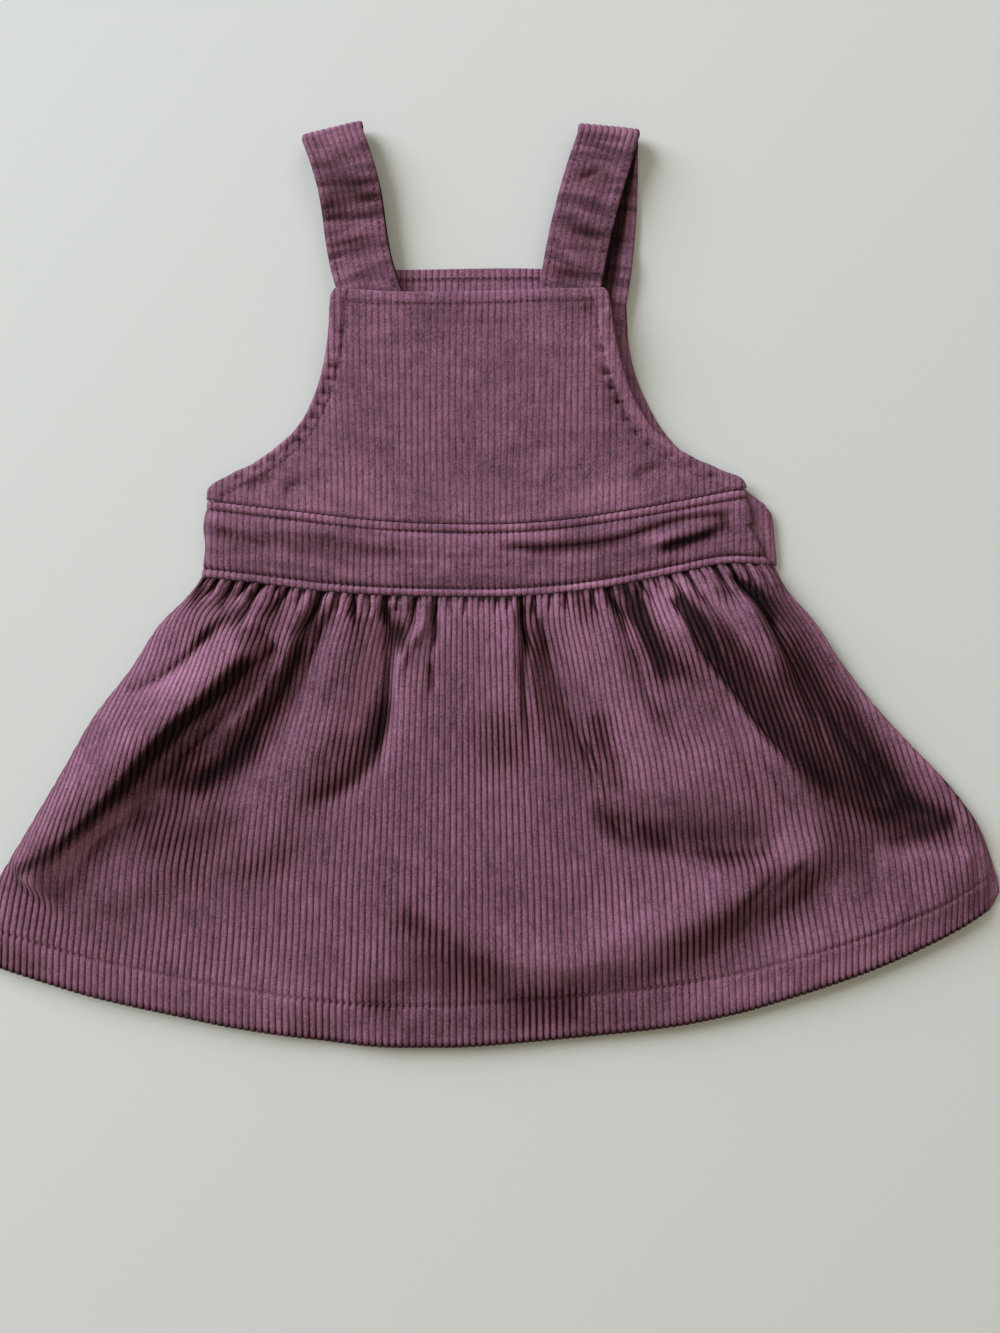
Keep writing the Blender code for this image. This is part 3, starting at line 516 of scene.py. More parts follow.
# %% Narrow creases, in the same order
SKIRT_CREASES = [
    ("middle left crease", -3.0, 2.6, 1.5, 0.05, 0.5,
     [(-48, -8), (-47, -20), (-46, -35), (-47, -50), (-48.5, -62), (-50, -74), (-53, -98)]),
    ("loop crease", -3.6, 1.6, 1.8, 0.15, 0.3, [(-25.5, -5), (-25, -14), (-24.6, -22), (-26, -32)]),
    ("under the loop", -1.5, 1.8, 1.8, 0.3, 0.4, [(-27, -34), (-25.5, -42), (-26, -52)]),
    ("loop hollow", -2.6, 4.5, 3.2, 0.1, 0.4, [(-43, -9), (-42, -18), (-38, -27)]),
    ("loop top", 2.0, 2.0, 2.2, 0.2, 0.3, [(-29, -9), (-29.5, -17), (-33, -24), (-37, -30)]),
    ("loop side", 1.6, 2.2, 2.2, 0.2, 0.4, [(-37, -29), (-41, -38), (-43.5, -52)]),
    ("notch", -3.0, 1.2, 1.2, 0.1, 0.4, [(-62, -5), (-61.5, -12), (-60.5, -20)]),
    ("middle crease", -3.6, 3.2, 1.5, 0.06, 0.6,
     [(14, -8), (15.5, -18), (14.5, -33), (15.5, -50), (17.5, -66), (18.5, -84)]),
    ("first right groove", -2.2, 1.3, 1.3, 0.2, 0.4,
     [(22, -10), (25, -24), (29, -39), (35, -54), (41, -70), (47, -86), (51, -102)]),
    ("second right groove", -1.8, 1.2, 1.2, 0.3, 0.4,
     [(26, -30), (31.5, -42), (38, -56), (44.5, -71), (51, -88), (56, -104)]),
    ("third right groove", -1.6, 1.3, 1.3, 0.2, 0.5,
     [(52, -6), (58, -14), (64, -27), (69, -42), (74, -58)]),
    ("short tuck", -2.6, 2.2, 1.6, 0.15, 0.5, [(67, 0), (69, -7), (72, -17)]),
    ("high edge", -4.2, 6.0, 1.3, 0.08, 0.3,
     [(80, -5), (86, -14), (93, -28), (101, -39), (109, -49), (119, -63), (131, -76), (142, -87)]),
    ("second edge", -1.2, 2.4, 2.4, 0.1, 0.6, [(91, -5), (96, -18), (103, -33), (112, -47), (124, -62)]),
    ("slope line", -1.2, 2.4, 2.4, 0.3, 0.3, [(128, -22), (137, -38), (146, -56), (150, -70), (158, -86)]),
    ("low slope line", -1.2, 2.4, 2.4, 0.3, 0.3, [(150, -52), (162, -70), (174, -86), (186, -102)]),
    ("outer tuck", -5.0, 2.8, 1.5, 0.1, 0.5, [(109, 5), (119, -5), (127, -17), (133, -30), (141, -43)]),
    ("side ridge edge", -2.8, 3.2, 1.5, 0.1, 0.4,
     [(-93, -24), (-109, -38), (-124, -52), (-139, -65), (-151, -76), (-163, -90), (-175, -107)]),
    ("side groove", -1.6, 1.5, 1.5, 0.3, 0.3, [(-118, -58), (-133, -72), (-146, -84)]),
    ("left crease", -2.6, 2.0, 1.5, 0.05, 0.4,
     [(-79, -7), (-84, -20), (-90, -38), (-98, -56), (-107, -71), (-116, -86)]),
    ("second left crease", -1.5, 1.4, 1.4, 0.2, 0.5, [(-74, -14), (-80, -30), (-88, -48), (-97, -66)]),
    ("side lobe", -2.0, 2.6, 2.0, 0.2, 0.1,
     [(-121, -17), (-130, -27), (-141, -37), (-153, -45), (-167, -48)]),
    ("hem groove", -0.7, 2.6, 2.6, 0.3, 0.3, [(150, -118), (135, -135), (122, -150), (108, -165)]),
    ("second hem groove", -0.6, 2.6, 2.6, 0.3, 0.3, [(140, -118), (126, -136), (112, -153)]),
]
print("narrow creases:", len(SKIRT_CREASES))

# %% Gathers
HIDDEN_CLOTH = 0.45         # width that a pleat hides on each side, as a share of its depth
PLEAT_SWAY = 0.9            # how far a pleat sways sideways, mm
PLEAT_PROFILE = 1.5
PLEAT_OPENS = 1.4           # how much wider a pleat is where it ends
# short pleats at the waist seam: x, depth, half width, length, lean to the right per mm down
GATHERS = [
    (-130.2, 4, 1.1, 12, -0.5), (-124.3, 3.5, 1, 12, -0.4), (-117, 5.5, 1.3, 18, -0.25),
    (-110.2, 4.5, 1.5, 15, -0.5), (-103.4, 6, 1.4, 26, -0.55), (-96.6, 2.1, 1, 10, -0.2),
    (-91.6, 3.6, 1, 14, -0.3), (-84.7, 2.1, 0.9, 12, -0.2), (-76.1, 7.5, 1.5, 32, -0.5),
    (-68.8, 2.1, 1, 14, -0.2), (-62, 6.2, 1, 14, -0.1), (-55.2, 3.2, 0.9, 12, 0.1), (-47, 7.5, 1.5, 36, 0),
    (-41.1, 2.1, 0.9, 10, -0.1), (-32.9, 3.6, 1.2, 24, -0.25), (-24.3, 3.6, 1, 28, -0.1),
    (-18.4, 1.5, 0.9, 10, 0.1), (-10.7, 1.8, 0.9, 12, 0), (-2.9, 1.2, 0.9, 8, 0), (3.4, 1.8, 0.9, 12, 0.05),
    (8.9, 1.8, 0.9, 10, 0.05), (14.3, 8.1, 1.1, 36, 0.08), (20.7, 3.2, 1, 14, 0.1), (28, 1.8, 0.9, 12, 0.1),
    (34.8, 3.2, 1, 14, 0.15), (40.7, 1.8, 0.9, 12, 0.2), (47.5, 3.2, 1.1, 18, 0.2),
    (54.3, 7.5, 1.5, 28, 0.4), (61.6, 3.2, 1, 14, 0.3), (68.9, 3.6, 1.1, 18, 0.4),
    (75.2, 2.1, 0.9, 12, 0.3), (82.1, 5, 1.3, 20, 0.5), (89.3, 5, 1.4, 30, 0.6), (95.7, 2.1, 1, 12, 0.5),
    (102.5, 6.2, 1.3, 22, 0.6), (109.3, 6.2, 1.3, 24, 0.7), (115.7, 3.2, 1.1, 16, 0.7),
    (121.6, 3.2, 1.1, 14, 0.8),
]


def below_waist(x, y):
    """How far a place lies below the waist seam."""
    seam = smooth_line(WAIST_SEAM)
    return np.interp(x, seam[:, 0], seam[:, 1]) - y


def from_pleat(x, drop, at, lean):
    """Distance sideways to a pleat, which sways as it runs down."""
    return x - at - lean * drop - PLEAT_SWAY * np.sin(drop / 4.0 + at) * np.clip(drop / 6, 0, 1)


def gather_heights(x, y):
    """Pleats under the waistband: narrow valleys between soft puffs."""
    drop = below_waist(x, y)
    total = np.zeros_like(x)
    for at, depth, width, length, lean in GATHERS:
        offset = from_pleat(x, drop, at, lean) / (width * (1 + PLEAT_OPENS * drop / length))
        total -= depth * np.exp(-np.abs(offset) ** PLEAT_PROFILE) * (1 - eased(drop / length))
    return total


def gather_pull(x, y):
    """How far the pleats pull the wales sideways, mm: they crowd in a valley, and fan over a puff."""
    drop = below_waist(x, y)
    hidden = np.zeros_like(x)
    for at, depth, width, length, lean in GATHERS:
        offset = from_pleat(x, drop, at, lean) / (width * (1.3 + 1.6 * drop / length))
        hidden += HIDDEN_CLOTH * depth * np.tanh(offset) * (1 - eased(drop / length / 1.6))
    return hidden - blurred(hidden, 0, hidden.shape[1] // 26)


print("pleats under the waistband:", len(GATHERS))

# %% [markdown]
# Strips of painted shade and painted light darken or lighten the cloth along its folds, beyond
# what the form and the lamps give. They are written as folds are, with a shade in place of the
# height: more than 0 is painted shade and less than 0 is painted light.

# %% Strips of painted shade and painted light on the skirt
SKIRT_PAINTED_SHADING = [
    ("beside the right ridge", 7.5, 5, 6, 0.0, 0.4, [(64, -4), (70, -18), (82, -36), (98, -50)]),
    ("right pleat", 7.0, 3.5, 3.5, 0.1, 0.4, [(86, -4), (90, -12), (98, -24)]),
    ("right field", 2.8, 10, 10, 0.3, 0.3, [(86, -22), (98, -45), (108, -70)]),
    ("outer slope line", 3.5, 4, 4, 0.2, 0.2, [(157, -48), (167, -64), (178, -80), (190, -94)]),
    ("outer pleat", 9.0, 3.5, 3.5, 0.05, 0.3, [(114, 1), (121, -7), (131, -21)]),
    ("right line", 6.0, 3.5, 3.5, 0.05, 0.2, [(66, -8), (70, -22), (76, -36), (80, -48)]),
    ("high slope", 8.5, 10, 5, 0.12, 0.15,
     [(84, -7), (91, -16), (99, -29), (108, -41), (117, -53), (127, -66), (139, -79), (152, -91),
      (174, -102), (200, -110)]),
    ("right pleat light", -4.0, 3, 3, 0.2, 0.2, [(98, -6), (109, -18), (118, -30)]),
    ("slope end", 7.0, 5, 5, 0.3, 0.2, [(182, -90), (198, -102), (218, -109)]),
    ("corner line", 3.0, 4, 4, 0.3, 0.2, [(172, -116), (200, -117), (218, -118)]),
    ("outer slope", 7.0, 9, 9, 0.35, 0.2,
     [(118, -6), (131, -25), (143, -44), (156, -65), (175, -86), (192, -100)]),
    ("seam puff", -4.0, 4, 4, 0.1, 0.1, [(80, 0), (88, 1.5), (97, 3)]),
    ("right side seam", -4.5, 4, 4, 0.05, 0.1,
     [(135, 0), (150, -18), (164, -39), (180, -59), (195, -75), (212, -93)]),
    ("right corner", -3.5, 9, 7, 0.3, 0.3, [(222, -112), (226, -128), (226, -144)]),
    ("left slope", 3.5, 4.5, 6, 0.2, 0.2,
     [(-130, -54), (-142, -63), (-156, -75), (-174, -91), (-190, -107)]),
    ("left slope line", 10.5, 3.5, 3, 0.05, 0.05,
     [(-105, -30), (-114, -40), (-125, -51), (-137, -61), (-151, -76), (-172, -99), (-197, -121),
      (-217, -133)]),
    ("left pleat light", -3.0, 3, 3, 0.2, 0.2, [(-95, -32), (-98, -36), (-102, -40)]),
    ("left puff light", -4.0, 3, 3, 0.2, 0.2, [(-112, -4), (-110, -14), (-108, -22)]),
    ("left pleat line", 3.5, 4, 4, 0.1, 0.3, [(-58, -12), (-63, -28), (-70, -44), (-80, -62)]),
    ("lower left slope", 7.5, 6, 6, 0.2, 0.2, [(-106, -66), (-120, -82), (-140, -90), (-150, -89)]),
    ("slope light", -7.0, 5, 5, 0.2, 0.2, [(-144, -93), (-160, -100), (-184, -118), (-198, -138)]),
    ("left hollow", 4.8, 9, 10, 0.3, 0.3, [(-108, -100), (-136, -114), (-168, -122)]),
    ("low left hollow", 4.0, 7, 8, 0.3, 0.3, [(-84, -112), (-102, -128), (-124, -134)]),
    ("far left rim", 3.5, 4, 7, 0.2, 0.1, [(-178, -96), (-192, -108), (-204, -120), (-220, -132)]),
    ("left inner line", 4.0, 6, 6, 0.1, 0.3, [(-86, -24), (-96, -44), (-106, -62), (-112, -84)]),
    ("left edge light", -4.5, 5, 5, 0.3, 0.3, [(-120, -32), (-132, -40), (-146, -46), (-160, -44)]),
    ("middle left puff", -7.0, 5, 6, 0.1, 0.2, [(-50, -14), (-52, -32), (-56, -50), (-67, -72)]),
    ("middle left line", 6.0, 4, 6, 0.2, 0.2, [(-46, -46), (-50, -66), (-60, -86), (-90, -102)]),
    ("loop light", -4.0, 3, 3, 0.3, 0.3, [(-28, -14), (-28, -22), (-29, -30)]),
    ("middle light", -2.0, 9, 9, 0.3, 0.3, [(-32, -30), (-34, -56), (-38, -80)]),
    ("right fan light", -3.5, 5, 6, 0.3, 0.3, [(25, -26), (32, -46), (42, -68), (50, -80)]),
    ("right ridge light", -4.0, 3, 3, 0.2, 0.3, [(60, -10), (66, -30), (72, -46), (80, -62)]),
    ("middle line", 3.0, 2.5, 2.5, 0.0, 0.3, [(17, -8), (19, -30), (20, -52), (23, -78)]),
    ("middle patch", 4.5, 14, 14, 0.4, 0.4, [(2, -50), (7, -72), (12, -92)]),
    ("right inner line", 5.5, 5, 7, 0.2, 0.15, [(48, -54), (54, -78), (60, -96)]),
    ("pocket start", 4.0, 5, 5, 0.3, 0.3, [(66, -108), (75, -116), (86, -117)]),
    ("under the belly", 4.5, 5, 6, 0.3, 0.2, [(92, -122), (116, -129), (138, -130), (156, -128)]),
    ("belly light", -3.5, 6, 6, 0.2, 0.2, [(102, -114), (114, -117), (127, -119)]),
    ("right shelf light", -3.5, 5, 4, 0.2, 0.2, [(150, -90), (166, -98), (186, -102)]),
    ("right corner line", 6.5, 4, 4, 0.3, 0.3, [(190, -111), (203, -112), (216, -109)]),
    ("low right line", 4.2, 5, 7, 0.3, 0.3, [(136, -122), (118, -144), (96, -160), (70, -168)]),
    ("shelf light", -3.0, 6, 6, 0.3, 0.3, [(144, -140), (160, -138), (174, -132)]),
    ("hem patch", 6.8, 8, 13, 0.25, 0.3, [(-46, -140), (-34, -156), (-12, -166), (16, -178)]),
    ("hem line", 5.0, 6, 8, 0.4, 0.3, [(-4, -188), (26, -192), (52, -188)]),
    ("hem dot", 4.0, 5, 5, 0.4, 0.4, [(-64, -194), (-48, -194), (-36, -191)]),
    ("hem centre", 3.2, 5, 5, 0.2, 0.3, [(-60, -203), (-30, -203), (0, -202), (60, -199), (104, -188)]),
    ("hem left end", 3.5, 5, 5, 0.2, 0.3, [(-235, -164), (-218, -171), (-200, -178)]),
    ("hem corner light", -4.5, 4.5, 4.5, 0.2, 0.2,
     [(216, -151), (190, -163), (155, -176), (120, -186), (90, -192)]),
    ("line beside the left pleat", 1.6, 1.4, 1.4, 0.1, 0.3,
     [(-89.4, -13.5), (-93, -27.6), (-100, -43.5), (-107, -62.8), (-112.4, -79)]),
    ("second left line", 1.6, 1.4, 1.4, 0.1, 0.3,
     [(-86, -17), (-88.5, -31), (-94.7, -48.8), (-101.8, -68.2), (-107, -79)]),
    ("third left line", 3.5, 1.4, 1.4, 0.1, 0.3,
     [(-55, -11.7), (-53.2, -22.3), (-54.9, -38.2), (-59.3, -56), (-62, -70)]),
    ("line under the loop", 3.5, 1.4, 1.4, 0.1, 0.3,
     [(-24.9, -27.6), (-28.4, -41.7), (-29.3, -62.8), (-31, -79)]),
    ("first right line", 3.5, 1.4, 1.4, 0.1, 0.3, [(52.4, -5), (64.4, -23), (70.3, -39), (75.3, -59)]),
    ("second right line", 3.5, 1.4, 1.4, 0.1, 0.3, [(62.3, -9), (73.3, -31), (80.3, -49)]),
    ("fourth right line", 3.0, 1.4, 1.4, 0.3, 0.3, [(106.3, -67), (116.3, -87), (124, -103)]),
    ("fifth right line", 3.0, 1.4, 1.4, 0.3, 0.3, [(116.3, -69), (128.3, -91), (138, -105)]),
    ("left field", 1.6, 18, 18, 0.4, 0.4, [(-178, -128), (-140, -130), (-105, -136)]),
    ("hem left light", -2.0, 9, 9, 0.3, 0.3, [(-132, -178), (-100, -184), (-70, -184)]),
]
# the strips of painted shade and painted light
print("strips of brushed nap:", len(SKIRT_PAINTED_SHADING))

# %% The deepest shadows between puffs: x, y, half width, half length, lean, shade
DARK_PLEATS = [
    (-132, -4, 4, 6, -0.6, 10.0), (-126, -21, 4, 7, -1.0, 11.0), (-98, -10, 5, 8, -0.5, 8.0),
    (-75, -15, 4, 8, -0.5, 8.0), (-60, -14, 3, 6, -0.1, 5.0), (-41, -23, 4, 8, 0.0, 11.0),
    (-34, -9, 4, 5, 0.0, 4.0), (2, -5, 9, 3.5, 0.0, 4.0), (21, -14, 3, 5, 0.1, 4.5),
    (43, -10, 6, 8, 0.2, 6.0), (66, -12, 3, 8, 0.4, 7.0), (89, -13, 3, 6, 0.5, 8.0),
    (122, -5, 5, 7, 0.8, 11.0), (104, -4, 3, 5, 0.6, 4.0),
]
print("dark pleats:", len(DARK_PLEATS))

# %% Form of the skirt
RIM_Z = 3.4                 # top of the front skirt at its side seams
# share down, height of the smooth surface
SKIRT_BASE = [(0.0, 5.6), (0.015, 8.4), (0.05, 10.0), (0.12, 9.2), (0.35, 8.2), (0.6, 7.4), (0.85, 6.2),
              (1.0, 5.0)]
FOLD_START = 0.14           # share down over which the broad folds rise
CREASE_START = 0.03
FOLD_LOWEST = BACK_TOP + SEAM_GAP + GROUND + 0.6
FOLD_SOFTNESS = 0.8
WAIST_WIDTH, FLARE, SIDE_ROUNDING = 260.0, 205.0, 13.0
SKIRT_LONG = 210.0          # from the waist seam to the hem
HEM_SHARE = 0.92            # where the hem is stitched
HEM_SINK = 0.85             # how deep the stitches pull the hem in
HEM_ROLL = 0.8              # how far the hem's edge rolls down
HEM_STITCH = 3.0
HEM_GROOVE = 1.0            # half width of the groove along the stitches
HEM_EDGE = 1.8


def skirt_height(u, v, x, y):
    """Smooth outer face of the front skirt."""
    base = table_value(SKIRT_BASE, v)
    folded = base + fold_heights(x, y, BIG_FOLDS) * eased(v / FOLD_START) + gather_heights(x, y)
    folded += fold_heights(x, y, SKIRT_CREASES) * eased(v / CREASE_START)
    folded = FOLD_LOWEST + np.logaddexp(0, (folded - FOLD_LOWEST) / FOLD_SOFTNESS) * FOLD_SOFTNESS
    from_side = np.minimum(u, 1 - u) * (WAIST_WIDTH + FLARE * v)
    folded = RIM_Z + (folded - RIM_Z) * round_edge(from_side, SIDE_ROUNDING)
    from_hem = (1 - v) * SKIRT_LONG
    pulled = 0.7 + 0.3 * np.cos(2 * np.pi * x / HEM_STITCH)
    stitched = HEM_SINK * pulled * np.exp(-((v - HEM_SHARE) * SKIRT_LONG / HEM_GROOVE) ** 2)
    return folded - stitched - HEM_ROLL * (1 - round_edge(from_hem, HEM_EDGE))


print("lowest fold of the skirt, mm above the table:", FOLD_LOWEST)

# %% Shade and wales of the skirt
SKIRT_SHADE = 0.6           # of all of it
PLEAT_SHADE = 1.2           # for each millimetre of a pleat's depth
PLEAT_SHADE_LONG = 24       # mm under the seam over which it fades
SEAM_SHADE, SEAM_SHADE_WIDE = 4.0, 1.7
HEM_SHADE, HEM_SHADE_WIDE = 8.0, 2.0
# share down, pitch of the wales
WALE_PITCH_DOWN = [(0.0, 2.15), (0.18, 2.4), (0.4, 2.68), (0.7, 2.92), (0.92, 3.06), (1.0, 3.08)]
CENTRE_X = -12.0            # the wale that hangs straight down


def skirt_shade(u, v, x, y):
    """Painted shade in the pleats, under the waist seam and at the hem, and painted strips of shade and
    light.
    """
    drop = below_waist(x, y)
    pleats = -gather_heights(x, y) * PLEAT_SHADE * np.exp(-drop / PLEAT_SHADE_LONG)
    seams = (SEAM_SHADE * np.exp(-(drop / SEAM_SHADE_WIDE) ** 2)
             + HEM_SHADE * np.exp(-((1 - v) * SKIRT_LONG / HEM_SHADE_WIDE) ** 2))
    for at_x, at_y, width, length, lean, dark in DARK_PLEATS:
        away = ((x - at_x + lean * (y - at_y)) / width) ** 2 + ((y - at_y) / length) ** 2
        pleats += dark * np.exp(-away)
    return SKIRT_SHADE + pleats + seams + fold_heights(x, y, SKIRT_PAINTED_SHADING)


def skirt_wales(cloth):
    """Wale numbers over the skirt, counted along the folded rows from the middle wale."""
    calm = cloth.surface.copy()
    calm[..., 2] = blurred(calm[..., 2], 9, 6)
    steps = np.linalg.norm(np.diff(calm, axis=1), axis=2)
    run = np.concatenate([np.zeros((len(cloth.rows), 1)), np.cumsum(steps, axis=1)], axis=1)
    flat = np.linalg.norm(np.diff(cloth.surface[..., :2], axis=1), axis=2).sum(axis=1)
    numbers = []
    for k, v in enumerate(cloth.rows):
        middle = np.interp(CENTRE_X, cloth.surface[k][:, 0], run[k])
        pitch = table_value(WALE_PITCH_DOWN, v) * run[k][-1] / flat[k]
        numbers.append((run[k] - middle) / pitch)
    return np.array(numbers) + gather_pull(calm[..., 0], calm[..., 1]) / WALE_PITCH


print("pitch of the wales at the waist and at the hem, mm:", WALE_PITCH_DOWN[0][1], WALE_PITCH_DOWN[-1][1])

# %% Weave the front skirt
HEM_LAYER = 0.9             # the cloth that is turned in at the hem
# share down, share of the wales' height: handling presses them in the folds
SKIRT_RIBS = [(0.0, 0.9), (0.15, 0.85), (0.35, 0.75), (0.8, 0.85), (1.0, 1.0)]
SKIRT_ROWS = spread((0.0, 0.1, 15), (0.1, 0.905, 76), (0.91, 0.93, 6), (0.93, 0.985, 6),
                    (0.985, 1.0, 4))
skirt_patch = Patch(WAIST_SEAM, HEM, SKIRT_LEFT, SKIRT_RIGHT)
skirt_cloth = Cloth(skirt_patch, SKIRT_ROWS, skirt_height, skirt_wales, samples=1800,
                    darker=skirt_shade)
skirt_layers = np.where(SKIRT_ROWS > HEM_SHARE, GROUND + HEM_LAYER, GROUND)
front_skirt = weave("front_skirt_cloth", skirt_cloth, BACK_TOP + SEAM_GAP, thickness=skirt_layers,
                    ribs=table_value(SKIRT_RIBS, SKIRT_ROWS))
for name, row in (("waist", 0), ("hem", -1)):
    print("wales at the", name + ":", round(np.ptp(skirt_cloth.wale[row])))

# %% [markdown]
# ## The waistband
# The band is a flat strip with a row of stitches along each seam. Beyond the stitches the seam
# allowance makes a soft round cord in the cloth. A few long creases cross the band.

# %% Cut lines of the waistband
BAND_TOP = [(-129.5, 38.5), (-90, 33.8), (-48, 29.2), (-4, 27.8), (32, 29.7), (74, 36), (117.5, 44.3)]
BAND_LEFT = [(-129.5, 38.5), (-131, 27), (-130.3, 17), (-132, 3.9)]
BAND_RIGHT = [(117.5, 44.3), (120.6, 30), (119.4, 26.9), (122.6, 22.3), (129, 9.4)]
print("points of the band's upper seam:", len(BAND_TOP))

# %% Creases of the waistband, and its strips of painted shade and light
BAND_FOLDS = [
    ("left crease", -1.0, 2.5, 2.5, 0.2, 0.3, [(-127, 25.5), (-112, 21), (-96, 16.3)]),
    ("long left crease", -0.9, 2.5, 3.5, 0.3, 0.3, [(-99, 24), (-73, 19.6), (-43, 15), (-20, 13.1)]),
    ("long right crease", -1.8, 1.6, 3.2, 0.12, 0.1,
     [(2, 17.7), (27, 17.7), (57, 20.9), (88, 30.1), (117, 33.4)]),
    ("right crease", -1.7, 2.0, 3.2, 0.3, 0.3, [(74, 15.5), (95, 20.9), (108, 26)]),
    ("right swell", 1.0, 2.5, 2.5, 0.3, 0.3, [(49, 13.1), (72, 17.7), (92, 26.0)]),
]
BAND_PAINTED_SHADING = [
    ("left strip", 4.0, 5, 5, 0.1, 0.2, [(-128, 22), (-100, 21), (-66, 17), (-30, 14)]),
    ("right strip", 5.0, 3, 3, 0.1, 0.2, [(14, 16), (34, 16), (60, 17.5), (80, 20)]),
    ("right end", 10.0, 3.5, 3.5, 0.2, 0.2, [(76, 15.5), (94, 22), (114, 31)]),
    ("lower roll", -2.0, 3, 3, 0.3, 0.1,
     [(-48, -2.5), (-4, -3.3), (26, -2), (55, 1.5), (85, 7.5), (108, 12), (128, 12)]),
    ("upper roll", -3.0, 3, 3, 0.0, 0.0,
     [(-129, 36), (-90, 31.3), (-48, 26.7), (-4, 25.3), (32, 27.2), (74, 33.5), (117, 42)]),
]
print("creases of the band:", len(BAND_FOLDS), "and strips:", len(BAND_PAINTED_SHADING))

# %% Form of the waistband
BAND_DEEP = 34.0            # from seam to seam
BAND_WIDE = 255.0
BAND_Z = 4.7                # top of the cloth along the stitches
BAND_CUSHION = 1.2          # how far the band swells between them
BAND_ROUNDING = 7.0
BAND_END_DROP, BAND_END = 1.4, 6.0       # how far the ends roll down, and over what width
BAND_CORD = 3.3             # width of the cord along a seam
CORD_HIGH, CORD_LOW = 0.9, 1.2           # height of the upper and the lower cord
BAND_STITCH = 4.0           # from a seam to its row of stitches
STITCH_PITCH = 2.7
STITCH_SINK, STITCH_DIMPLE = 0.45, 0.2   # the groove along the stitches, and deeper at each
STITCH_GROOVE = 0.8         # half width of that groove


def cord(distance, width, height):
    """A half round cord in the cloth, from an edge to `width` from it."""
    return height * np.sqrt(np.clip(1 - (2 * distance / width - 1) ** 2, 0, 1))


def band_height(u, v, x, y):
    """Front waistband: a low cushion between two rows of stitches, and a cord beyond each."""
    top, bottom = v * BAND_DEEP, (1 - v) * BAND_DEEP
    inside = np.minimum(top, bottom) - BAND_STITCH
    body = BAND_CUSHION * round_edge(np.maximum(inside, 0), BAND_ROUNDING)
    height = BAND_Z + np.where(inside > 0, body, 0)
    height += cord(top, BAND_CORD, CORD_HIGH) + cord(bottom, BAND_CORD, CORD_LOW)
    sink = STITCH_SINK + STITCH_DIMPLE * np.cos(2 * np.pi * x / STITCH_PITCH)
    height -= sink * np.exp(-(inside / STITCH_GROOVE) ** 2)
    height += fold_heights(x, y, BAND_FOLDS)
    from_side = np.minimum(u, 1 - u) * BAND_WIDE
    return height - BAND_END_DROP * (1 - round_edge(from_side, BAND_END))


def band_shade(u, v, x, y):
    """Painted shade and painted light in strips over the band."""
    return fold_heights(x, y, BAND_PAINTED_SHADING)


print("the band's cord is", BAND_CORD, "mm wide")

# %% Weave the front waistband
BAND_MIDDLE_X, BAND_WALE_PITCH = 0.0, 2.95
BAND_ROWS = spread((0.0, 0.14, 15), (0.14, 0.86, 26), (0.86, 1.0, 15))
band_patch = Patch(BAND_TOP, beyond(WAIST_SEAM, 0, SEAM_GAP), BAND_LEFT, BAND_RIGHT)
band_wales = upright_wales(BAND_MIDDLE_X, BAND_WALE_PITCH)
band_cloth = Cloth(band_patch, BAND_ROWS, band_height, band_wales, shade=4.0, darker=band_shade)
from_seams = np.minimum(BAND_ROWS, 1 - BAND_ROWS) * BAND_DEEP
band_ribs = np.where(from_seams < BAND_CORD, 0.5, 0.55)
front_waistband = weave("front_waistband_cloth", band_cloth, BACK_BAND_TOP + SEAM_GAP, ribs=band_ribs)

# %% [markdown]
# ## The bib
# The bib lies nearly flat. Its top edge and armholes are turned in and stitched, which makes the
# edge thicker and gathers it into small puckers. It is lifted where the straps' ends are sewn
# behind it.

# %% Cut lines of the bib
BIB_TOP = [(-70, 134.5), (-41, 132.8), (-9, 132.8), (23, 134), (52, 134.6)]
BIB_LEFT = [(-70, 134.5), (-72, 131.5), (-72.5, 126.7), (-73.4, 113), (-76, 99), (-80.7, 85.3), (-89, 71.5),
            (-105.6, 57.7), (-119, 50.8), (-128.4, 45.0), (-129.6, 38.9)]
BIB_RIGHT = [(52, 134.6), (54, 132), (55, 127), (56.5, 116), (61, 98), (64.6, 89), (69.7, 79), (75.2, 71.5),
             (89, 61), (107, 52.6), (115.6, 48.9), (117.9, 44.7)]
bib_bottom = beyond(BAND_TOP, 0, SEAM_GAP)
bib_bottom[0], bib_bottom[-1] = BIB_LEFT[-1], BIB_RIGHT[-1]
print("width of the bib at its top and its bottom, mm:", BIB_TOP[-1][0] - BIB_TOP[0][0],
      round(bib_bottom[-1][0] - bib_bottom[0][0], 1))

# %% Creases of the bib, and its strips of painted shade and light
BIB_FOLDS = [
    ("left streak", -1.0, 2.5, 3.0, 0.3, 0.3, [(-112, 44), (-104, 47.5), (-96, 49.5)]),
    ("second streak", -1.0, 2.5, 3.0, 0.3, 0.3, [(-94.5, 41.5), (-89, 46), (-84, 48)]),
    ("left upright", -0.4, 4.0, 4.0, 0.3, 0.3, [(-78, 54), (-77, 43)]),
    ("right streak", -1.0, 3.0, 3.5, 0.3, 0.3, [(63, 48), (74, 52.5), (85, 56)]),
    ("right upright", -0.2, 2.4, 2.4, 0.2, 0.2, [(58.6, 75), (58.6, 58), (58, 41)]),
    ("middle streak", 0.5, 4.0, 4.0, 0.3, 0.3, [(31, 62), (25, 52), (20, 43)]),
    ("under the left strap", -0.5, 3.0, 4.0, 0.3, 0.3, [(-66, 124), (-56, 123.6), (-44, 118)]),
    ("under the right strap", -0.7, 2.5, 3.0, 0.3, 0.3, [(42, 125), (48, 125.4), (54, 124)]),
]
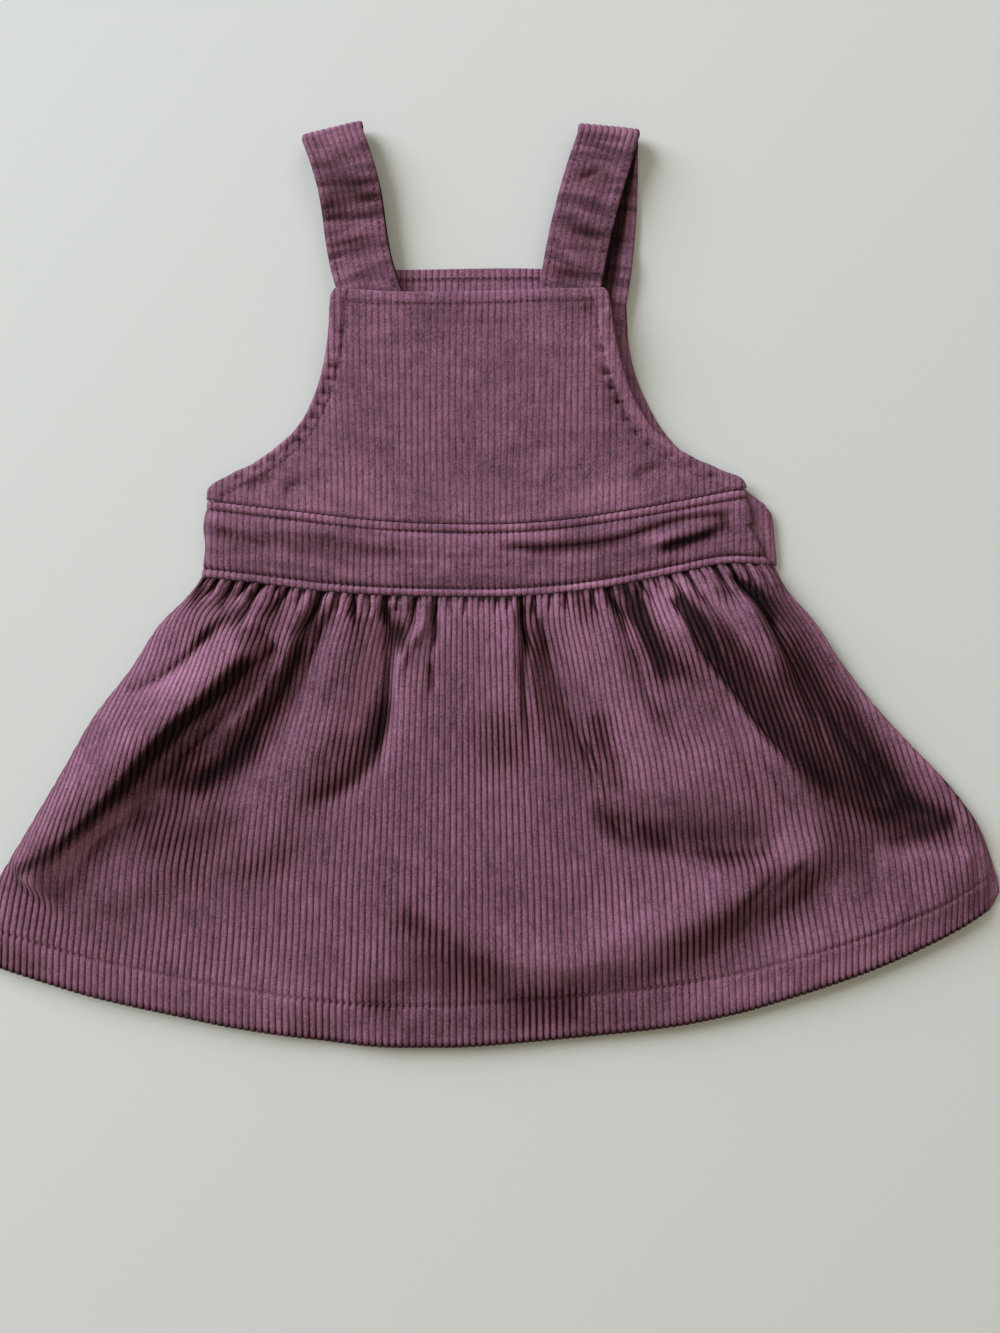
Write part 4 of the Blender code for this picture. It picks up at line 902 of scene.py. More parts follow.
BIB_PAINTED_SHADING = [
    ("under the neck", 1.6, 8, 6, 0.3, 0.3, [(-50, 120), (-20, 122), (24, 121)]),
    ("under the right strap", 2.6, 6, 9, 0.3, 0.3, [(30, 123), (42, 124), (52, 122)]),
    ("beside the left armhole", 1.2, 7, 8, 0.3, 0.3, [(-66, 116), (-68, 96), (-70, 80)]),
    ("low right", -3.0, 8, 8, 0.3, 0.3, [(24, 38), (50, 40), (84, 44)]),
    ("low left", -1.2, 7, 7, 0.3, 0.3, [(-128, 41), (-98, 39), (-60, 35), (-30, 35)]),
    ("right edge", -4.0, 5, 5, 0.1, 0.1, [(52, 120), (58, 96), (66, 80), (78, 68), (94, 58)]),
    ("left edge", -3.5, 4, 4, 0.1, 0.1, [(-71, 122), (-75, 98), (-86, 74), (-103, 59), (-119, 50)]),
    ("top edge", -1.5, 3, 3, 0.1, 0.1, [(-68, 132), (-41, 130.5), (-9, 130.5), (23, 131.6), (50, 132)]),
]
print("creases of the bib:", len(BIB_FOLDS), "and strips:", len(BIB_PAINTED_SHADING))

# %% Where the straps lift the bib
STRAP_WIDTH = 28.0
STRAPS = [  # name, end x, end y, fold x, fold y, front lean, lean at the fold, back lean, back leg's end x
    ("strap_left", -52.3, 127.0, -71.8, 205.6, 13.0, 13.5, 14.0, -47.5),
    ("strap_right", 35.4, 127.0, 54.6, 206.2, -12.9, -6.0, -5.0, 45.5),
]
FRONT_LEG_END = 123.0
BACK_LEG_END = 111.0
FRONT_LEG_LIFT = 5.6
BACK_LEG_LIFT = 2.4
LIFT_BESIDE = 44.0
LIFT_BELOW = 95.0


def strap_lift(x, y):
    """How far the legs of the straps lift the bib, which hangs straight between them."""
    lift = np.zeros_like(x)
    legs = ((1, FRONT_LEG_END, FRONT_LEG_LIFT), (8, BACK_LEG_END - 2, BACK_LEG_LIFT))
    for at, low_y, rise in legs:
        (left, left_slope), (right, right_slope) = (
            (row[at], (row[3] - row[at]) / (row[4] - low_y)) for row in STRAPS)
        past_left = left + (y - low_y) * left_slope - x
        past_right = x - right - (y - low_y) * right_slope
        beside = (np.maximum(past_left, past_right) - STRAP_WIDTH / 2 - 3) / LIFT_BESIDE
        lift = np.maximum(lift, rise * (1 - eased(beside)) * (1 - eased((low_y - y) / LIFT_BELOW)))
    return lift


print("the straps lift the bib by", FRONT_LEG_LIFT, "mm")

# %% Form of the bib
BIB_Z = 4.1
TURN_TOP = 5.2              # depth of the turned edge at the bib's top
TURN_SIDE = 6.5             # and at its armholes
TURN_THICK = 0.55           # how much thicker the cloth is there
TURN_SINK = 0.3             # the groove along the stitches
BIB_RISE = 1.1              # towards the waistband
PUCKER_DEEP, PUCKER_LONG, PUCKER_WIDE = 1.8, 2.8, 1.5
DENT_DEEP, DENT_LONG, DENT_WIDE = 1.1, 1.9, 1.0            # a dent between two puckers
DENT_OUT = 1.6              # from the pucker line
PUCKER_SHADE = 6.0
# dimples along the armhole stitches: x, y, depth
PUCKERS = [
    (-67.6, 114.6, 0.45), (-69.2, 107, 0.5), (-70.6, 99.6, 0.7), (-72.6, 94, 0.7), (-74.6, 88.2, 0.8),
    (-76.8, 82.7, 0.7), (-79.6, 77.3, 0.9), (-83.4, 71.8, 0.7), (-87.2, 66.6, 0.8), (-92.5, 62.4, 0.5),
    (-99, 57.8, 0.6), (-106.5, 53.6, 0.4), (-114, 49.6, 0.4), (51.2, 107.5, 0.5), (53.5, 97.2, 0.9),
    (56, 90.3, 0.8), (59.2, 84.3, 0.9), (63.6, 76.2, 0.6), (68.4, 70.2, 0.7), (74.2, 65, 0.5),
    (82, 59.6, 0.6), (91, 54.6, 0.4), (101, 50, 0.4),
]


def bib_edges(x, y):
    """Distances to the bib's top edge and to its nearer armhole edge."""
    top = smooth_line(BIB_TOP)
    from_top = np.interp(x, top[:, 0], top[:, 1]) - y
    from_side = np.full_like(x, np.inf)
    for line in (smooth_line(BIB_LEFT), smooth_line(BIB_RIGHT)):
        for px, py in line[::2]:
            from_side = np.minimum(from_side, np.hypot(x - px, y - py))
    return from_top, from_side


def bib_height(u, v, x, y):
    """Front bib: flat, thicker at its turned edges, with puckers along the armholes."""
    lift = strap_lift(x, y)
    height = BIB_Z + lift + BIB_RISE * v ** 3 + fold_heights(x, y, BIB_FOLDS)
    from_top, from_side = bib_edges(x, y)
    turns = ((from_top, TURN_TOP), (from_side, TURN_SIDE))
    height += TURN_THICK * np.maximum(*(1 - eased((away - turn) / 1.6 + 0.5) for away, turn in turns))
    for away, turn in turns:
        height -= TURN_SINK * np.exp(-((away - turn) / STITCH_GROOVE) ** 2)
    for (at_x, at_y, depth), (next_x, next_y, _) in zip(PUCKERS, PUCKERS[1:] + PUCKERS[-1:]):
        height -= PUCKER_DEEP * depth * np.exp(
            -((x - at_x) / PUCKER_LONG) ** 2 - ((y - at_y) / PUCKER_WIDE) ** 2)
        if abs(next_x - at_x) < 12:
            outward = DENT_OUT if at_x > 0 else -DENT_OUT
            away = (((x - outward - (at_x + next_x) / 2) / DENT_LONG) ** 2
                    + ((y - (at_y + next_y) / 2) / DENT_WIDE) ** 2)
            height -= DENT_DEEP * depth * np.exp(-away)
    edge = np.minimum(from_top, from_side)
    return height - 0.9 * (1 - round_edge(edge, 1.8)) * (1 - 0.5 * lift / FRONT_LEG_LIFT)


def bib_shade(u, v, x, y):
    """Painted shade at the armholes' puckers and in strips; painted light in other strips and all over."""
    shade = fold_heights(x, y, BIB_PAINTED_SHADING) - 0.3
    for at_x, at_y, depth in PUCKERS:
        outward = 1.8 if at_x > 0 else -1.8
        away = ((x - at_x - outward) / 3.2) ** 2 + ((y - at_y) / 1.4) ** 2
        shade += PUCKER_SHADE * depth * np.exp(-away)
    return shade


print("puckers along the armholes:", len(PUCKERS))

# %% Weave the front bib
BIB_MIDDLE_X, BIB_WALE_PITCH = -9.0, 2.9
BIB_ROWS = spread((0.0, 0.12, 18), (0.12, 1.0, 62))
bib_patch = Patch(BIB_TOP, bib_bottom, BIB_LEFT, BIB_RIGHT)
bib_wales = upright_wales(BIB_MIDDLE_X, BIB_WALE_PITCH)
bib_cloth = Cloth(bib_patch, BIB_ROWS, bib_height, bib_wales, shade=2.4, darker=bib_shade)
front_bib = weave("front_bib_cloth", bib_cloth, BACK_TOP + SEAM_GAP, ribs=0.38)

# %% [markdown]
# ## The back
# The back lies face down, so its wales are on the underside, with their tops on the table. The
# edges that show past the front are its neck edge, its right armhole, the end of its waistband
# and a corner of its skirt. Its seams are those of the front, so their lines are taken over.

# %% Cut lines of the back
BACK_NECK = [(-69, 146), (-39, 146), (24, 146.4), (60, 141)]
BACK_ARM_LEFT = [(-69, 146), (-71, 127), (-72.5, 113), (-75, 99), (-80, 85), (-88.5, 71.5), (-105, 57.5),
                 (-118.5, 50.5), (-129, 40.2)]
BACK_ARM_RIGHT = [(60, 141), (63, 131), (64.2, 113), (67, 99), (72.5, 85), (80.3, 71.5), (92, 59.5),
                  (109, 51), (118, 45.8)]
BACK_BAND_RIGHT = [(118, 44), (124, 39.5), (128.3, 36), (130.6, 30.8), (131.3, 23), (132.4, 12),
                   (132.4, 9.2)]
BACK_RIGHT = [(132, 8.5), (138, -3), (150.5, -18), (164.5, -39), (180.5, -59), (195.5, -75), (212.5, -93),
              (225, -109), (232, -127), (235.6, -141), (231, -150)]
bodice_bottom = beyond(BAND_TOP, 0, SEAM_GAP)
bodice_bottom[0], bodice_bottom[-1] = (-129, 40.2), (118, 45.8)
back_band_top = BAND_TOP[:-1] + [(118, 44)]
back_band_bottom = beyond(WAIST_SEAM[:-1], 0, SEAM_GAP) + [(132.4, 9.2)]
back_band_left = [back_band_top[0], (-131, 27), (-130.3, 17), back_band_bottom[0]]
back_waist = WAIST_SEAM[:-1] + [(132, 8.5)]
back_hem = HEM[:-1] + [(231, -150)]
bodice_patch = Patch(BACK_NECK, bodice_bottom, BACK_ARM_LEFT, BACK_ARM_RIGHT)
back_band_patch = Patch(back_band_top, back_band_bottom, back_band_left, BACK_BAND_RIGHT)
back_skirt_patch = Patch(back_waist, back_hem, SKIRT_LEFT, BACK_RIGHT)
print("points of the back's neck edge:", len(BACK_NECK))

# %% Form and shade of the back
NECK_TURN = 4.3             # depth of the turned neck edge
NECK_TO_WAIST = 112.0
BACK_SHADE = -2.5           # painted light: less than 0 is paler


def lying_flat(top):
    """A height function for a piece whose inner side is level."""
    return lambda u, v, x, y: np.full_like(x, top)


def neck_height(u, v, x, y):
    """Inner side of the back bodice: its turned neck edge is a little thicker, above the stitches."""
    from_neck = v * NECK_TO_WAIST
    turned = 1 - eased((from_neck - NECK_TURN) / 1.0 + 0.5)
    return BACK_TOP - 0.35 * (1 - turned) - 0.35 * np.exp(-((from_neck - NECK_TURN) / 0.7) ** 2)


def paler(u, v, x, y):
    """Painted light on the inner side of the back, where it shows past the front."""
    return np.full_like(x, BACK_SHADE)


print("the back's inner side is", BACK_TOP, "mm above the table")

# %% Weave the back pieces
bodice_cloth = Cloth(bodice_patch, spread((0, 0.09, 19), (0.09, 1, 36)), neck_height, bib_wales,
                     shade=3.0, darker=paler)
back_band_cloth = Cloth(back_band_patch, spread((0, 1, 16)), lying_flat(BACK_BAND_TOP), band_wales,
                        darker=paler)
back_skirt_cloth = Cloth(back_skirt_patch, spread((0, 1, 60)), lying_flat(BACK_TOP), skirt_wales,
                         darker=paler)
back_bodice = weave("back_bodice_cloth", bodice_cloth, 0, inner_step=1, face_down=True)
back_waistband = weave("back_waistband_cloth", back_band_cloth, 0, face_down=True)
back_skirt = weave("back_skirt_cloth", back_skirt_cloth, 0, face_down=True)

# %% [markdown]
# ## The straps
# A strap is a narrow tube of corduroy that is pressed flat. It leaves the bib, runs up, folds over
# and comes down behind. Its centre line is a smooth path, and a cross section is swept along it. A
# bevelled curve would do that too, but it can't carry wales, creases and a slit inside. The front
# leg is creased across by being rolled up in a drawer.

# %% Path of a strap
STRAP_CLOTH = 1.8
STRAP_BOWS = {"strap_left": (0.0, -1.6, 0.0), "strap_right": (-2.2, 0.0, 2.8)}   # front bow, wave, back bow
FRONT_SECTIONS, FOLD_SECTIONS, BACK_SECTIONS = 75, 17, 40
FOLD_RADIUS = 2.9
INSIDE_FROM, INSIDE_OVER = 158.0, 10.0   # where a back leg goes in under the bodice's neck edge


def strap_path(name, end_x, end_y, fold_x, fold_y, front_lean, fold_lean, back_lean, back_x):
    """Sections of a strap from its front end to its back end: centre and lean."""
    front_z = BACK_TOP + 2 * SEAM_GAP + 1.5 * STRAP_CLOTH + WALE_HEIGHT + 0.5
    back_z = STRAP_CLOTH / 2 + WALE_HEIGHT + 0.1
    top_z = back_z + 2 * FOLD_RADIUS
    inside_z = BACK_TOP + SEAM_GAP + STRAP_CLOTH / 2 + WALE_HEIGHT
    front_bow, wave, back_bow = STRAP_BOWS[name]

    def waved(y):
        return wave * math.sin(2 * math.pi * (y - end_y) / (fold_y - end_y))

    sections = []
    for share in np.linspace(0, 1, FRONT_SECTIONS, endpoint=False):
        lean = front_lean + (fold_lean - front_lean) * eased((share - 0.75) / 0.25)
        z = front_z + (top_z - front_z) * eased(share)
        y = end_y + (fold_y - end_y) * share
        bow = front_bow * math.sin(math.pi * share) + waved(y)
        sections.append((end_x + (fold_x - end_x) * share + bow, y, z, lean))
    for turn in np.radians(np.linspace(0, 180, FOLD_SECTIONS)):
        lean = fold_lean + (back_lean - fold_lean) * (turn / math.pi)
        z = back_z + FOLD_RADIUS * (1 + math.cos(turn))
        sections.append((fold_x, fold_y + FOLD_RADIUS * math.sin(turn), z, lean))
    for share in np.linspace(0, 1, BACK_SECTIONS + 1)[1:]:
        y = fold_y + (BACK_LEG_END - fold_y) * share
        z = back_z + (inside_z - back_z) * eased((INSIDE_FROM - y) / INSIDE_OVER)
        bow = back_bow * math.sin(math.pi * share) + waved(y)
        sections.append((fold_x + (back_x - fold_x) * share + bow, y, z, back_lean))
    return np.array(sections)


print("sections of a strap:", [len(strap_path(*row)) for row in STRAPS])

# %% Creases of the straps, and their patches of painted shade and light
# cross creases: distance from the sewn end, place across, half length, half width, depth, slope
STRAP_CREASES = {
    "strap_left": [
        (67.3, 0, 17, 3.4, 1.5, 0.03), (57, 0, 16, 1.9, 2.8, -0.16), (47.8, 9.5, 6, 1.7, 2.0, -0.19),
        (49, -11, 4, 1.4, 1.2, 0.0), (41.5, 0, 16, 1.6, 2.2, -0.17), (30.8, -3, 11, 1.6, 2.0, 0.0),
        (25.9, -10.8, 4, 1.3, 1.2, 0.0), (12, 4.5, 10, 1.7, 1.1, -0.36),
    ],
    "strap_right": [
        (60.7, -2.4, 5, 1.8, 1.8, 0.7), (58.8, 7.5, 3, 1.2, 1.0, 0.0), (53, 7.0, 3, 1.3, 1.0, 0.0),
        (46.5, 5.6, 6, 1.9, 1.5, -0.1), (40.5, 8, 4, 1.4, 1.0, 0.0), (34.5, 2.7, 10, 2.1, 2.6, -0.06),
        (26.2, 2, 11, 1.6, 1.5, 0.12), (14.3, 3.4, 11, 2.0, 2.8, 0.0),
    ],
}
# patches of painted shade, below 0 painted light:
# distance from the sewn end, place across, half length, half width, shade
STRAP_PAINTED_SHADING = {
    "strap_left": [
        (51, 0, 16, 5, 7.0), (44, -10, 7, 8, 3.0), (28, 2, 9, 4, 4.5), (17, 0, 16, 5, -3.5),
    ],
    "strap_right": [
        (60, -1, 10, 4, 4.5), (34.5, 4, 11, 4, 5.0), (24, 8, 6, 4, 3.0), (15, -5, 9, 3.5, 4.0),
        (84, 14, 2.2, 10, 10.0),
    ],
}
for name in STRAP_CREASES:
    print(name, "has", len(STRAP_CREASES[name]), "creases and", len(STRAP_PAINTED_SHADING[name]), "patches")


# %% Faces of a strap
def strap_faces(offsets, lining, count):
    """Faces of a strap's outer skin, of the slit inside it and of its two ends."""
    around, inside = 2 * len(offsets), 2 * len(lining)
    size = around + inside
    faces = []
    for k in range(count - 1):
        for start, points_around in ((0, around), (around, inside)):
            for n in range(points_around):
                a, b = k * size + start + n, k * size + start + (n + 1) % points_around
                faces.append((a, b, b + size, a + size))
    for base in (0, (count - 1) * size):
        over = range(base, base + len(offsets))
        under = range(base + around - 1, base + len(offsets) - 1, -1)
        slit_over = range(base + around, base + around + len(lining))
        slit_under = range(base + size - 1, base + around + len(lining) - 1, -1)
        for skin, slit in ((over, slit_over), (under, slit_under)):
            faces += sew(list(zip(offsets, skin)), list(zip(lining, slit)))
        for end in (0, -1):
            faces.append((over[end], under[end], slit_under[end], slit_over[end]))
    return faces


print("faces of a strap of two sections:", len(strap_faces([-1, 0, 1], [-1, 1], 2)))

# %% Marks on a strap
WEDGE_SHADE, WEDGE_SHARE = 14.0, 0.7     # painted shadow between the legs, and the share of the back leg in it


def strap_marks(name, distance, offsets, near_fold):
    """Depth of the creases, and painted shade and light across a strap, at a distance from its sewn end."""
    dip = np.zeros(len(offsets))
    # painted light beside the fold
    shade = np.full(len(offsets), -4.0 * near_fold)
    for at, place, half_length, half_width, depth, slope in STRAP_CREASES[name]:
        beside = np.abs((offsets - place) / half_length) ** 3
        away = (distance - at - slope * (offsets - place)) / half_width
        dip += depth * np.exp(-away ** 2 - beside)
        # painted shade beside each crease
        shade += 1.6 * depth * np.exp(-((away - 0.5) / 1.5) ** 2 - beside)
    for at, place, half_length, half_width, dark in STRAP_PAINTED_SHADING[name]:
        beside = np.abs((offsets - place) / half_length) ** 3
        shade += dark * np.exp(-((distance - at) / half_width) ** 2 - beside)
    return dip, shade


def wedge_shade(x, front_x):
    """Shade of a back leg where it shows past the front leg's edge, darkest beside it."""
    shown = max(x.max() - front_x, 0.5)
    share = (x - front_x) / shown / WEDGE_SHARE
    return WEDGE_SHADE * (1 - eased((share - 0.4) / 0.6))


print("shade of a back leg that shows by 4 mm:", wedge_shade(np.array([0.0, 2.0, 4.0]), 0.0).round(1))

# %% Sweep the straps
SLIT = 0.3                  # between the two layers of a strap
SLIT_MARGIN = 1.2           # cloth between the slit and a strap's edge
STRAP_EDGE = 0.45           # how far the faces roll in at the edges
STRAP_WALES = 10
STRAP_RIBS = 0.32           # the wales are pressed lower on the straps
PALE_FOLD = 17.0            # beside the fold the wales stand open, and get painted light
DIP_SHARE = 0.55            # of a crease's depth by which the whole strap bends
SIDES = ((1, slice(None)), (-1, slice(None, None, -1)))   # upper face left to right, lower face back
strap_lengths = {}
seams = {}                  # for each strap, the middle, side and up of its front leg's sections


def strap(name, *places):
    """A strap with wales on both of its faces."""
    sections = strap_path(name, *places)
    centres, leans = sections[:, :3], np.radians(sections[:, 3])
    tangents = np.gradient(centres, axis=0)
    run = np.concatenate([[0], np.cumsum(np.linalg.norm(np.diff(centres, axis=0), axis=1))])
    phases = np.array([phase for phase, height in WALE_SHAPE])
    wales = np.append((np.arange(STRAP_WALES)[:, None] + phases).ravel(), STRAP_WALES)
    offsets = (wales / STRAP_WALES - 0.5) * STRAP_WIDTH
    rounding = STRAP_EDGE * np.abs(offsets / (STRAP_WIDTH / 2)) ** 8
    lining = np.linspace(-1, 1, 7) * (STRAP_WIDTH / 2 - SLIT_MARGIN)
    relief = wale_relief(wales) * WALE_HEIGHT
    to_side = np.stack([np.cos(leans), np.sin(leans)], 1) * STRAP_WIDTH / 2
    front_edge = (centres[:, :2] + to_side)[:FRONT_SECTIONS]
    fold_run = run[FRONT_SECTIONS + FOLD_SECTIONS // 2]
    strap_lengths[name] = run[-1]
    seams[name] = []
    points, stored = [], []
    for centre, lean, tangent, distance in zip(centres, leans, tangents, run):
        across = np.array([math.cos(lean), math.sin(lean), 0.0])
        out = np.cross(across, tangent)
        out /= np.linalg.norm(out)
        near_fold = eased(1 - abs(distance - fold_run + 4) / PALE_FOLD)
        pile = relief * (STRAP_RIBS + 0.5 * near_fold)
        dip, shade = strap_marks(name, distance, offsets, near_fold)
        if distance < fold_run - 10:
            top = centre + out * (STRAP_CLOTH / 2 + 0.2) - out * DIP_SHARE * dip[len(dip) // 2]
            seams[name].append((top, across, out))
        for sign, order in SIDES:
            lift = STRAP_CLOTH / 2 - rounding + pile
            ring = centre + across * offsets[:, None] + out * (sign * lift - dip * DIP_SHARE)[:, None]
            points.extend(ring[order])
            # how far this face leans to the side that gets painted shade
            turned = sign * (out @ SHADED_SIDE)
            # the painted shade of this ring; on a back leg beside the front leg, a painted shadow
            seen = shade
            if distance > fold_run and out[2] * sign > 0:
                seen = wedge_shade(ring[:, 0], np.interp(centre[1], front_edge[:, 1], front_edge[:, 0]))
            stored.extend((wale, distance, painted_shade, turned) for wale, painted_shade in zip(wales[order], seen[order]))
        for sign, order in SIDES:
            level = sign * SLIT / 2 - np.interp(lining, offsets, dip) * DIP_SHARE
            points.extend((centre + across * lining[:, None] + out * level[:, None])[order])
            stored.extend((0.0, distance, 0.0, 0.0) for place in lining)
    wale, along, hollow, tilt = np.array(stored).T
    return mesh_object(name + "_cloth", points, strap_faces(offsets, lining, len(centres)),
                       wale=wale, along=along, hollow=hollow, tilt=tilt)


straps = {row[0]: strap(*row) for row in STRAPS}

# %% [markdown]
# ## Stitches
# Rows of stitches hold the turned edges and seams. On corduroy a stitch sinks between two wales,
# so each is a short thread whose ends dive into the cloth. One row needs hundreds, all alike: one
# small shape is repeated along a line on the cloth, and the stitches of a piece are joined into
# one object. An array modifier could repeat them, but it can't follow the pile up and down.

# %% Places of the stitches along a seam
def inset(line, distance):
    """A line moved sideways in plan, to its left looking along it."""
    line = smooth_line(line)
    step = np.gradient(line, axis=0)
    step /= np.linalg.norm(step, axis=1, keepdims=True)
    return line + np.column_stack([-step[:, 1], step[:, 0]]) * distance


def seam_on(cloth, line, lift, start, end, pitch=STITCH_PITCH):
    """Places, directions and normals of the stitches along a plan line on a cloth."""
    run = np.concatenate([[0], np.cumsum(np.hypot(*np.diff(line, axis=0).T))])
    at = np.arange(run[-1] * start + pitch / 2, run[-1] * end, pitch)
    plan = np.column_stack([np.interp(at, run, line[:, k]) for k in (0, 1)])
    places, normals = zip(*(cloth.on(x, y) for x, y in plan))
    places = np.array(places) + np.array(normals) * lift
    return places, np.gradient(places, axis=0), np.array(normals)


def strap_seam(name, offset):
    """Stitches along a strap's front leg, `offset` from its middle."""
    tops, sides, ups = (np.array(part) for part in zip(*seams[name]))
    line = tops + sides * offset
    run = np.concatenate([[0], np.cumsum(np.linalg.norm(np.diff(line, axis=0), axis=1))])
    at = np.arange(8, run[-1], STITCH_PITCH)
    places, normals = (np.column_stack([np.interp(at, run, part[:, k]) for k in range(3)])
                       for part in (line, ups))
    return places, np.gradient(places, axis=0), normals


print("a row of stitches 100 mm long has", len(np.arange(STITCH_PITCH / 2, 100, STITCH_PITCH)))

# %% One stitch, repeated along its rows
STITCH_LONG, STITCH_THICK = 2.0, 0.45
STITCH_SHAPE = [            # share of the length, height above its middle, share of the thickness
    (-0.5, -0.5, 0.5),
    (-0.34, -0.05, 0.9),
    (0.0, 0.12, 1.0),
    (0.34, -0.05, 0.9),
    (0.5, -0.5, 0.5),
]
STITCH_SIDES = 6


def stitch_object(name, *rows):
    """All stitches of one piece, joined."""
    points, faces = [], []
    angles = np.linspace(0, 2 * math.pi, STITCH_SIDES, endpoint=False)
    for places, steps, normals in rows:
        for place, step, normal in zip(places, steps, normals):
            step = step / np.linalg.norm(step)
            side = np.cross(step, normal)
            first = len(points)
            for share, rise, thick in STITCH_SHAPE:
                middle = place + step * share * STITCH_LONG + normal * rise
                for angle in angles:
                    spoke = side * math.cos(angle) + normal * math.sin(angle)
                    points.append(middle + spoke * thick * STITCH_THICK / 2)
            last = first + (len(STITCH_SHAPE) - 1) * STITCH_SIDES
            for ring in range(first, last, STITCH_SIDES):
                for k in range(STITCH_SIDES):
                    a, b = ring + k, ring + (k + 1) % STITCH_SIDES
                    faces.append((a, b, b + STITCH_SIDES, a + STITCH_SIDES))
            faces.append(tuple(range(first, first + STITCH_SIDES)))
            faces.append(tuple(range(last, last + STITCH_SIDES)))
    return mesh_object(name, points, faces)


print("faces of a stitch:", (len(STITCH_SHAPE) - 1) * STITCH_SIDES + 2)

# %% Sew all the rows
STRAP_STITCH = 11.4         # from a strap's middle to its rows of stitches
hem_row = np.argmin(np.abs(SKIRT_ROWS - HEM_SHARE))
band_top_row = np.argmin(np.abs(BAND_ROWS - BAND_STITCH / BAND_DEEP))
band_low_row = np.argmin(np.abs(BAND_ROWS - 1 + BAND_STITCH / BAND_DEEP))
hem_line = skirt_cloth.surface[hem_row][:, :2]
stitch_rows = {
    "front_skirt": [seam_on(skirt_cloth, hem_line, 0.4, 0.003, 0.997, HEM_STITCH)],
    "front_waistband": [seam_on(band_cloth, band_cloth.surface[row][:, :2], 0.25, 0.01, 0.99)
                        for row in (band_top_row, band_low_row)],
    "front_bib": [seam_on(bib_cloth, inset(BIB_TOP, -TURN_TOP), 0.22, 0.04, 0.96),
                  seam_on(bib_cloth, inset(BIB_LEFT, TURN_SIDE), 0.22, 0.04, 0.97),
                  seam_on(bib_cloth, inset(BIB_RIGHT, -TURN_SIDE), 0.22, 0.04, 0.97)],
    "back_bodice": [seam_on(bodice_cloth, inset(BACK_NECK, -NECK_TURN), 0.1, 0.02, 0.98)],
}
for name in straps:
    stitch_rows[name] = [strap_seam(name, offset) for offset in (-STRAP_STITCH, STRAP_STITCH)]
stitches = {node: stitch_object(node + "_stitches", *rows) for node, rows in stitch_rows.items()}
print("stitches:", sum(len(places) for rows in stitch_rows.values() for places, steps, normals in rows))

# %% [markdown]
# ## Materials
# Corduroy is matt and soft. The tops of the wales are paler than the grooves: a groove shows the
# darker ground and gets painted shade, and a painted highlight stands for pile tips that catch the
# light. The hollows, and the strips that the tables give, get painted shade and painted light from
# the values stored at the points. Fine noise stands for the cut pile, a slower one for places where
# the nap has been brushed over, and a little sheen gives the soft bloom of velvet. Nodes could be
# linked by hand, but a colour of twenty sums reads better as plain Python expressions, so a small
# class turns those into nodes.


# %% A socket that takes part in sums
class Value:
    """A socket that takes part in sums: an expression on it adds its Math nodes."""

    def __init__(self, recipe, socket):
        self.recipe, self.socket = recipe, socket

    def math(self, operation, *others):
        """A Math node on this socket and other sockets or numbers."""
        values = dict(enumerate((self,) + others))
        return self.recipe.node("ShaderNodeMath", {"operation": operation}, values)

    def __add__(self, other):
        return self.math("ADD", other)

    def __sub__(self, other):
        return self.math("SUBTRACT", other)

    def __rsub__(self, other):
        return self.recipe.node("ShaderNodeMath", {"operation": "SUBTRACT"}, {0: other, 1: self})

    def __mul__(self, other):
        return self.math("MULTIPLY", other)

    def __truediv__(self, other):
        return self.math("DIVIDE", other)

    def __pow__(self, other):
        return self.math("POWER", other)

    __radd__, __rmul__ = __add__, __mul__

    def step(self, start, end):
        """A soft step from 0 at `start` to 1 at `end`."""
        settings = {"interpolation_type": "SMOOTHSTEP"}
        values = {"Value": self, "From Min": start, "From Max": end}
        return self.recipe.node("ShaderNodeMapRange", settings, values)


print("sums on a socket:", [name for name in vars(Value) if name.endswith("__") and name != "__doc__"])


# %% A material and its nodes
class Recipe:
    """One material and its nodes."""

    def __init__(self, name):
        self.material = bpy.data.materials.new(name)
        self.material.use_nodes = True
        self.tree = self.material.node_tree
        self.tree.nodes.clear()

    def node(self, kind, settings=None, values=None, output=0):
        """Adds a node, sets its settings first, then its sockets, and gives one of its outputs."""
        made = self.tree.nodes.new(kind)
        for key, setting in (settings or {}).items():
            setattr(made, key, setting)
        for key, value in (values or {}).items():
            if isinstance(value, Value):
                self.tree.links.new(value.socket, made.inputs[key])
            else:
                made.inputs[key].default_value = value
        return Value(self, made.outputs[output])

    def attribute(self, name):
        """A value that the mesh stores at its points."""
        return self.node("ShaderNodeAttribute", {"attribute_name": name}, output="Fac")

    def noise(self, vector, scale, detail):
        """Cloudy noise, about 0.5, at places times `scale`."""
        return self.node("ShaderNodeTexNoise", {}, {"Vector": vector, "Scale": scale, "Detail": detail})

    def point(self, x, y, z):
        """A place in a pattern, from three numbers."""
        return self.node("ShaderNodeCombineXYZ", {}, {0: x, 1: y, 2: z})

    def grey(self, tone):
        """A number as a colour, to brighten or darken another."""
        return self.node("ShaderNodeCombineColor", {}, {0: tone, 1: tone, 2: tone})

    def mix(self, share, first, second, blend="MIX"):
        """Two colours mixed by a share."""
        settings = {"data_type": "RGBA", "blend_type": blend}
        return self.node("ShaderNodeMix", settings, {0: share, 6: first, 7: second}, output=2)

    def finish(self, shader):
        """Links the shader to the material's output."""
        end = self.tree.nodes.new("ShaderNodeOutputMaterial")
        self.tree.links.new(shader.socket, end.inputs["Surface"])
        return self.material


print("materials so far:", len(bpy.data.materials))

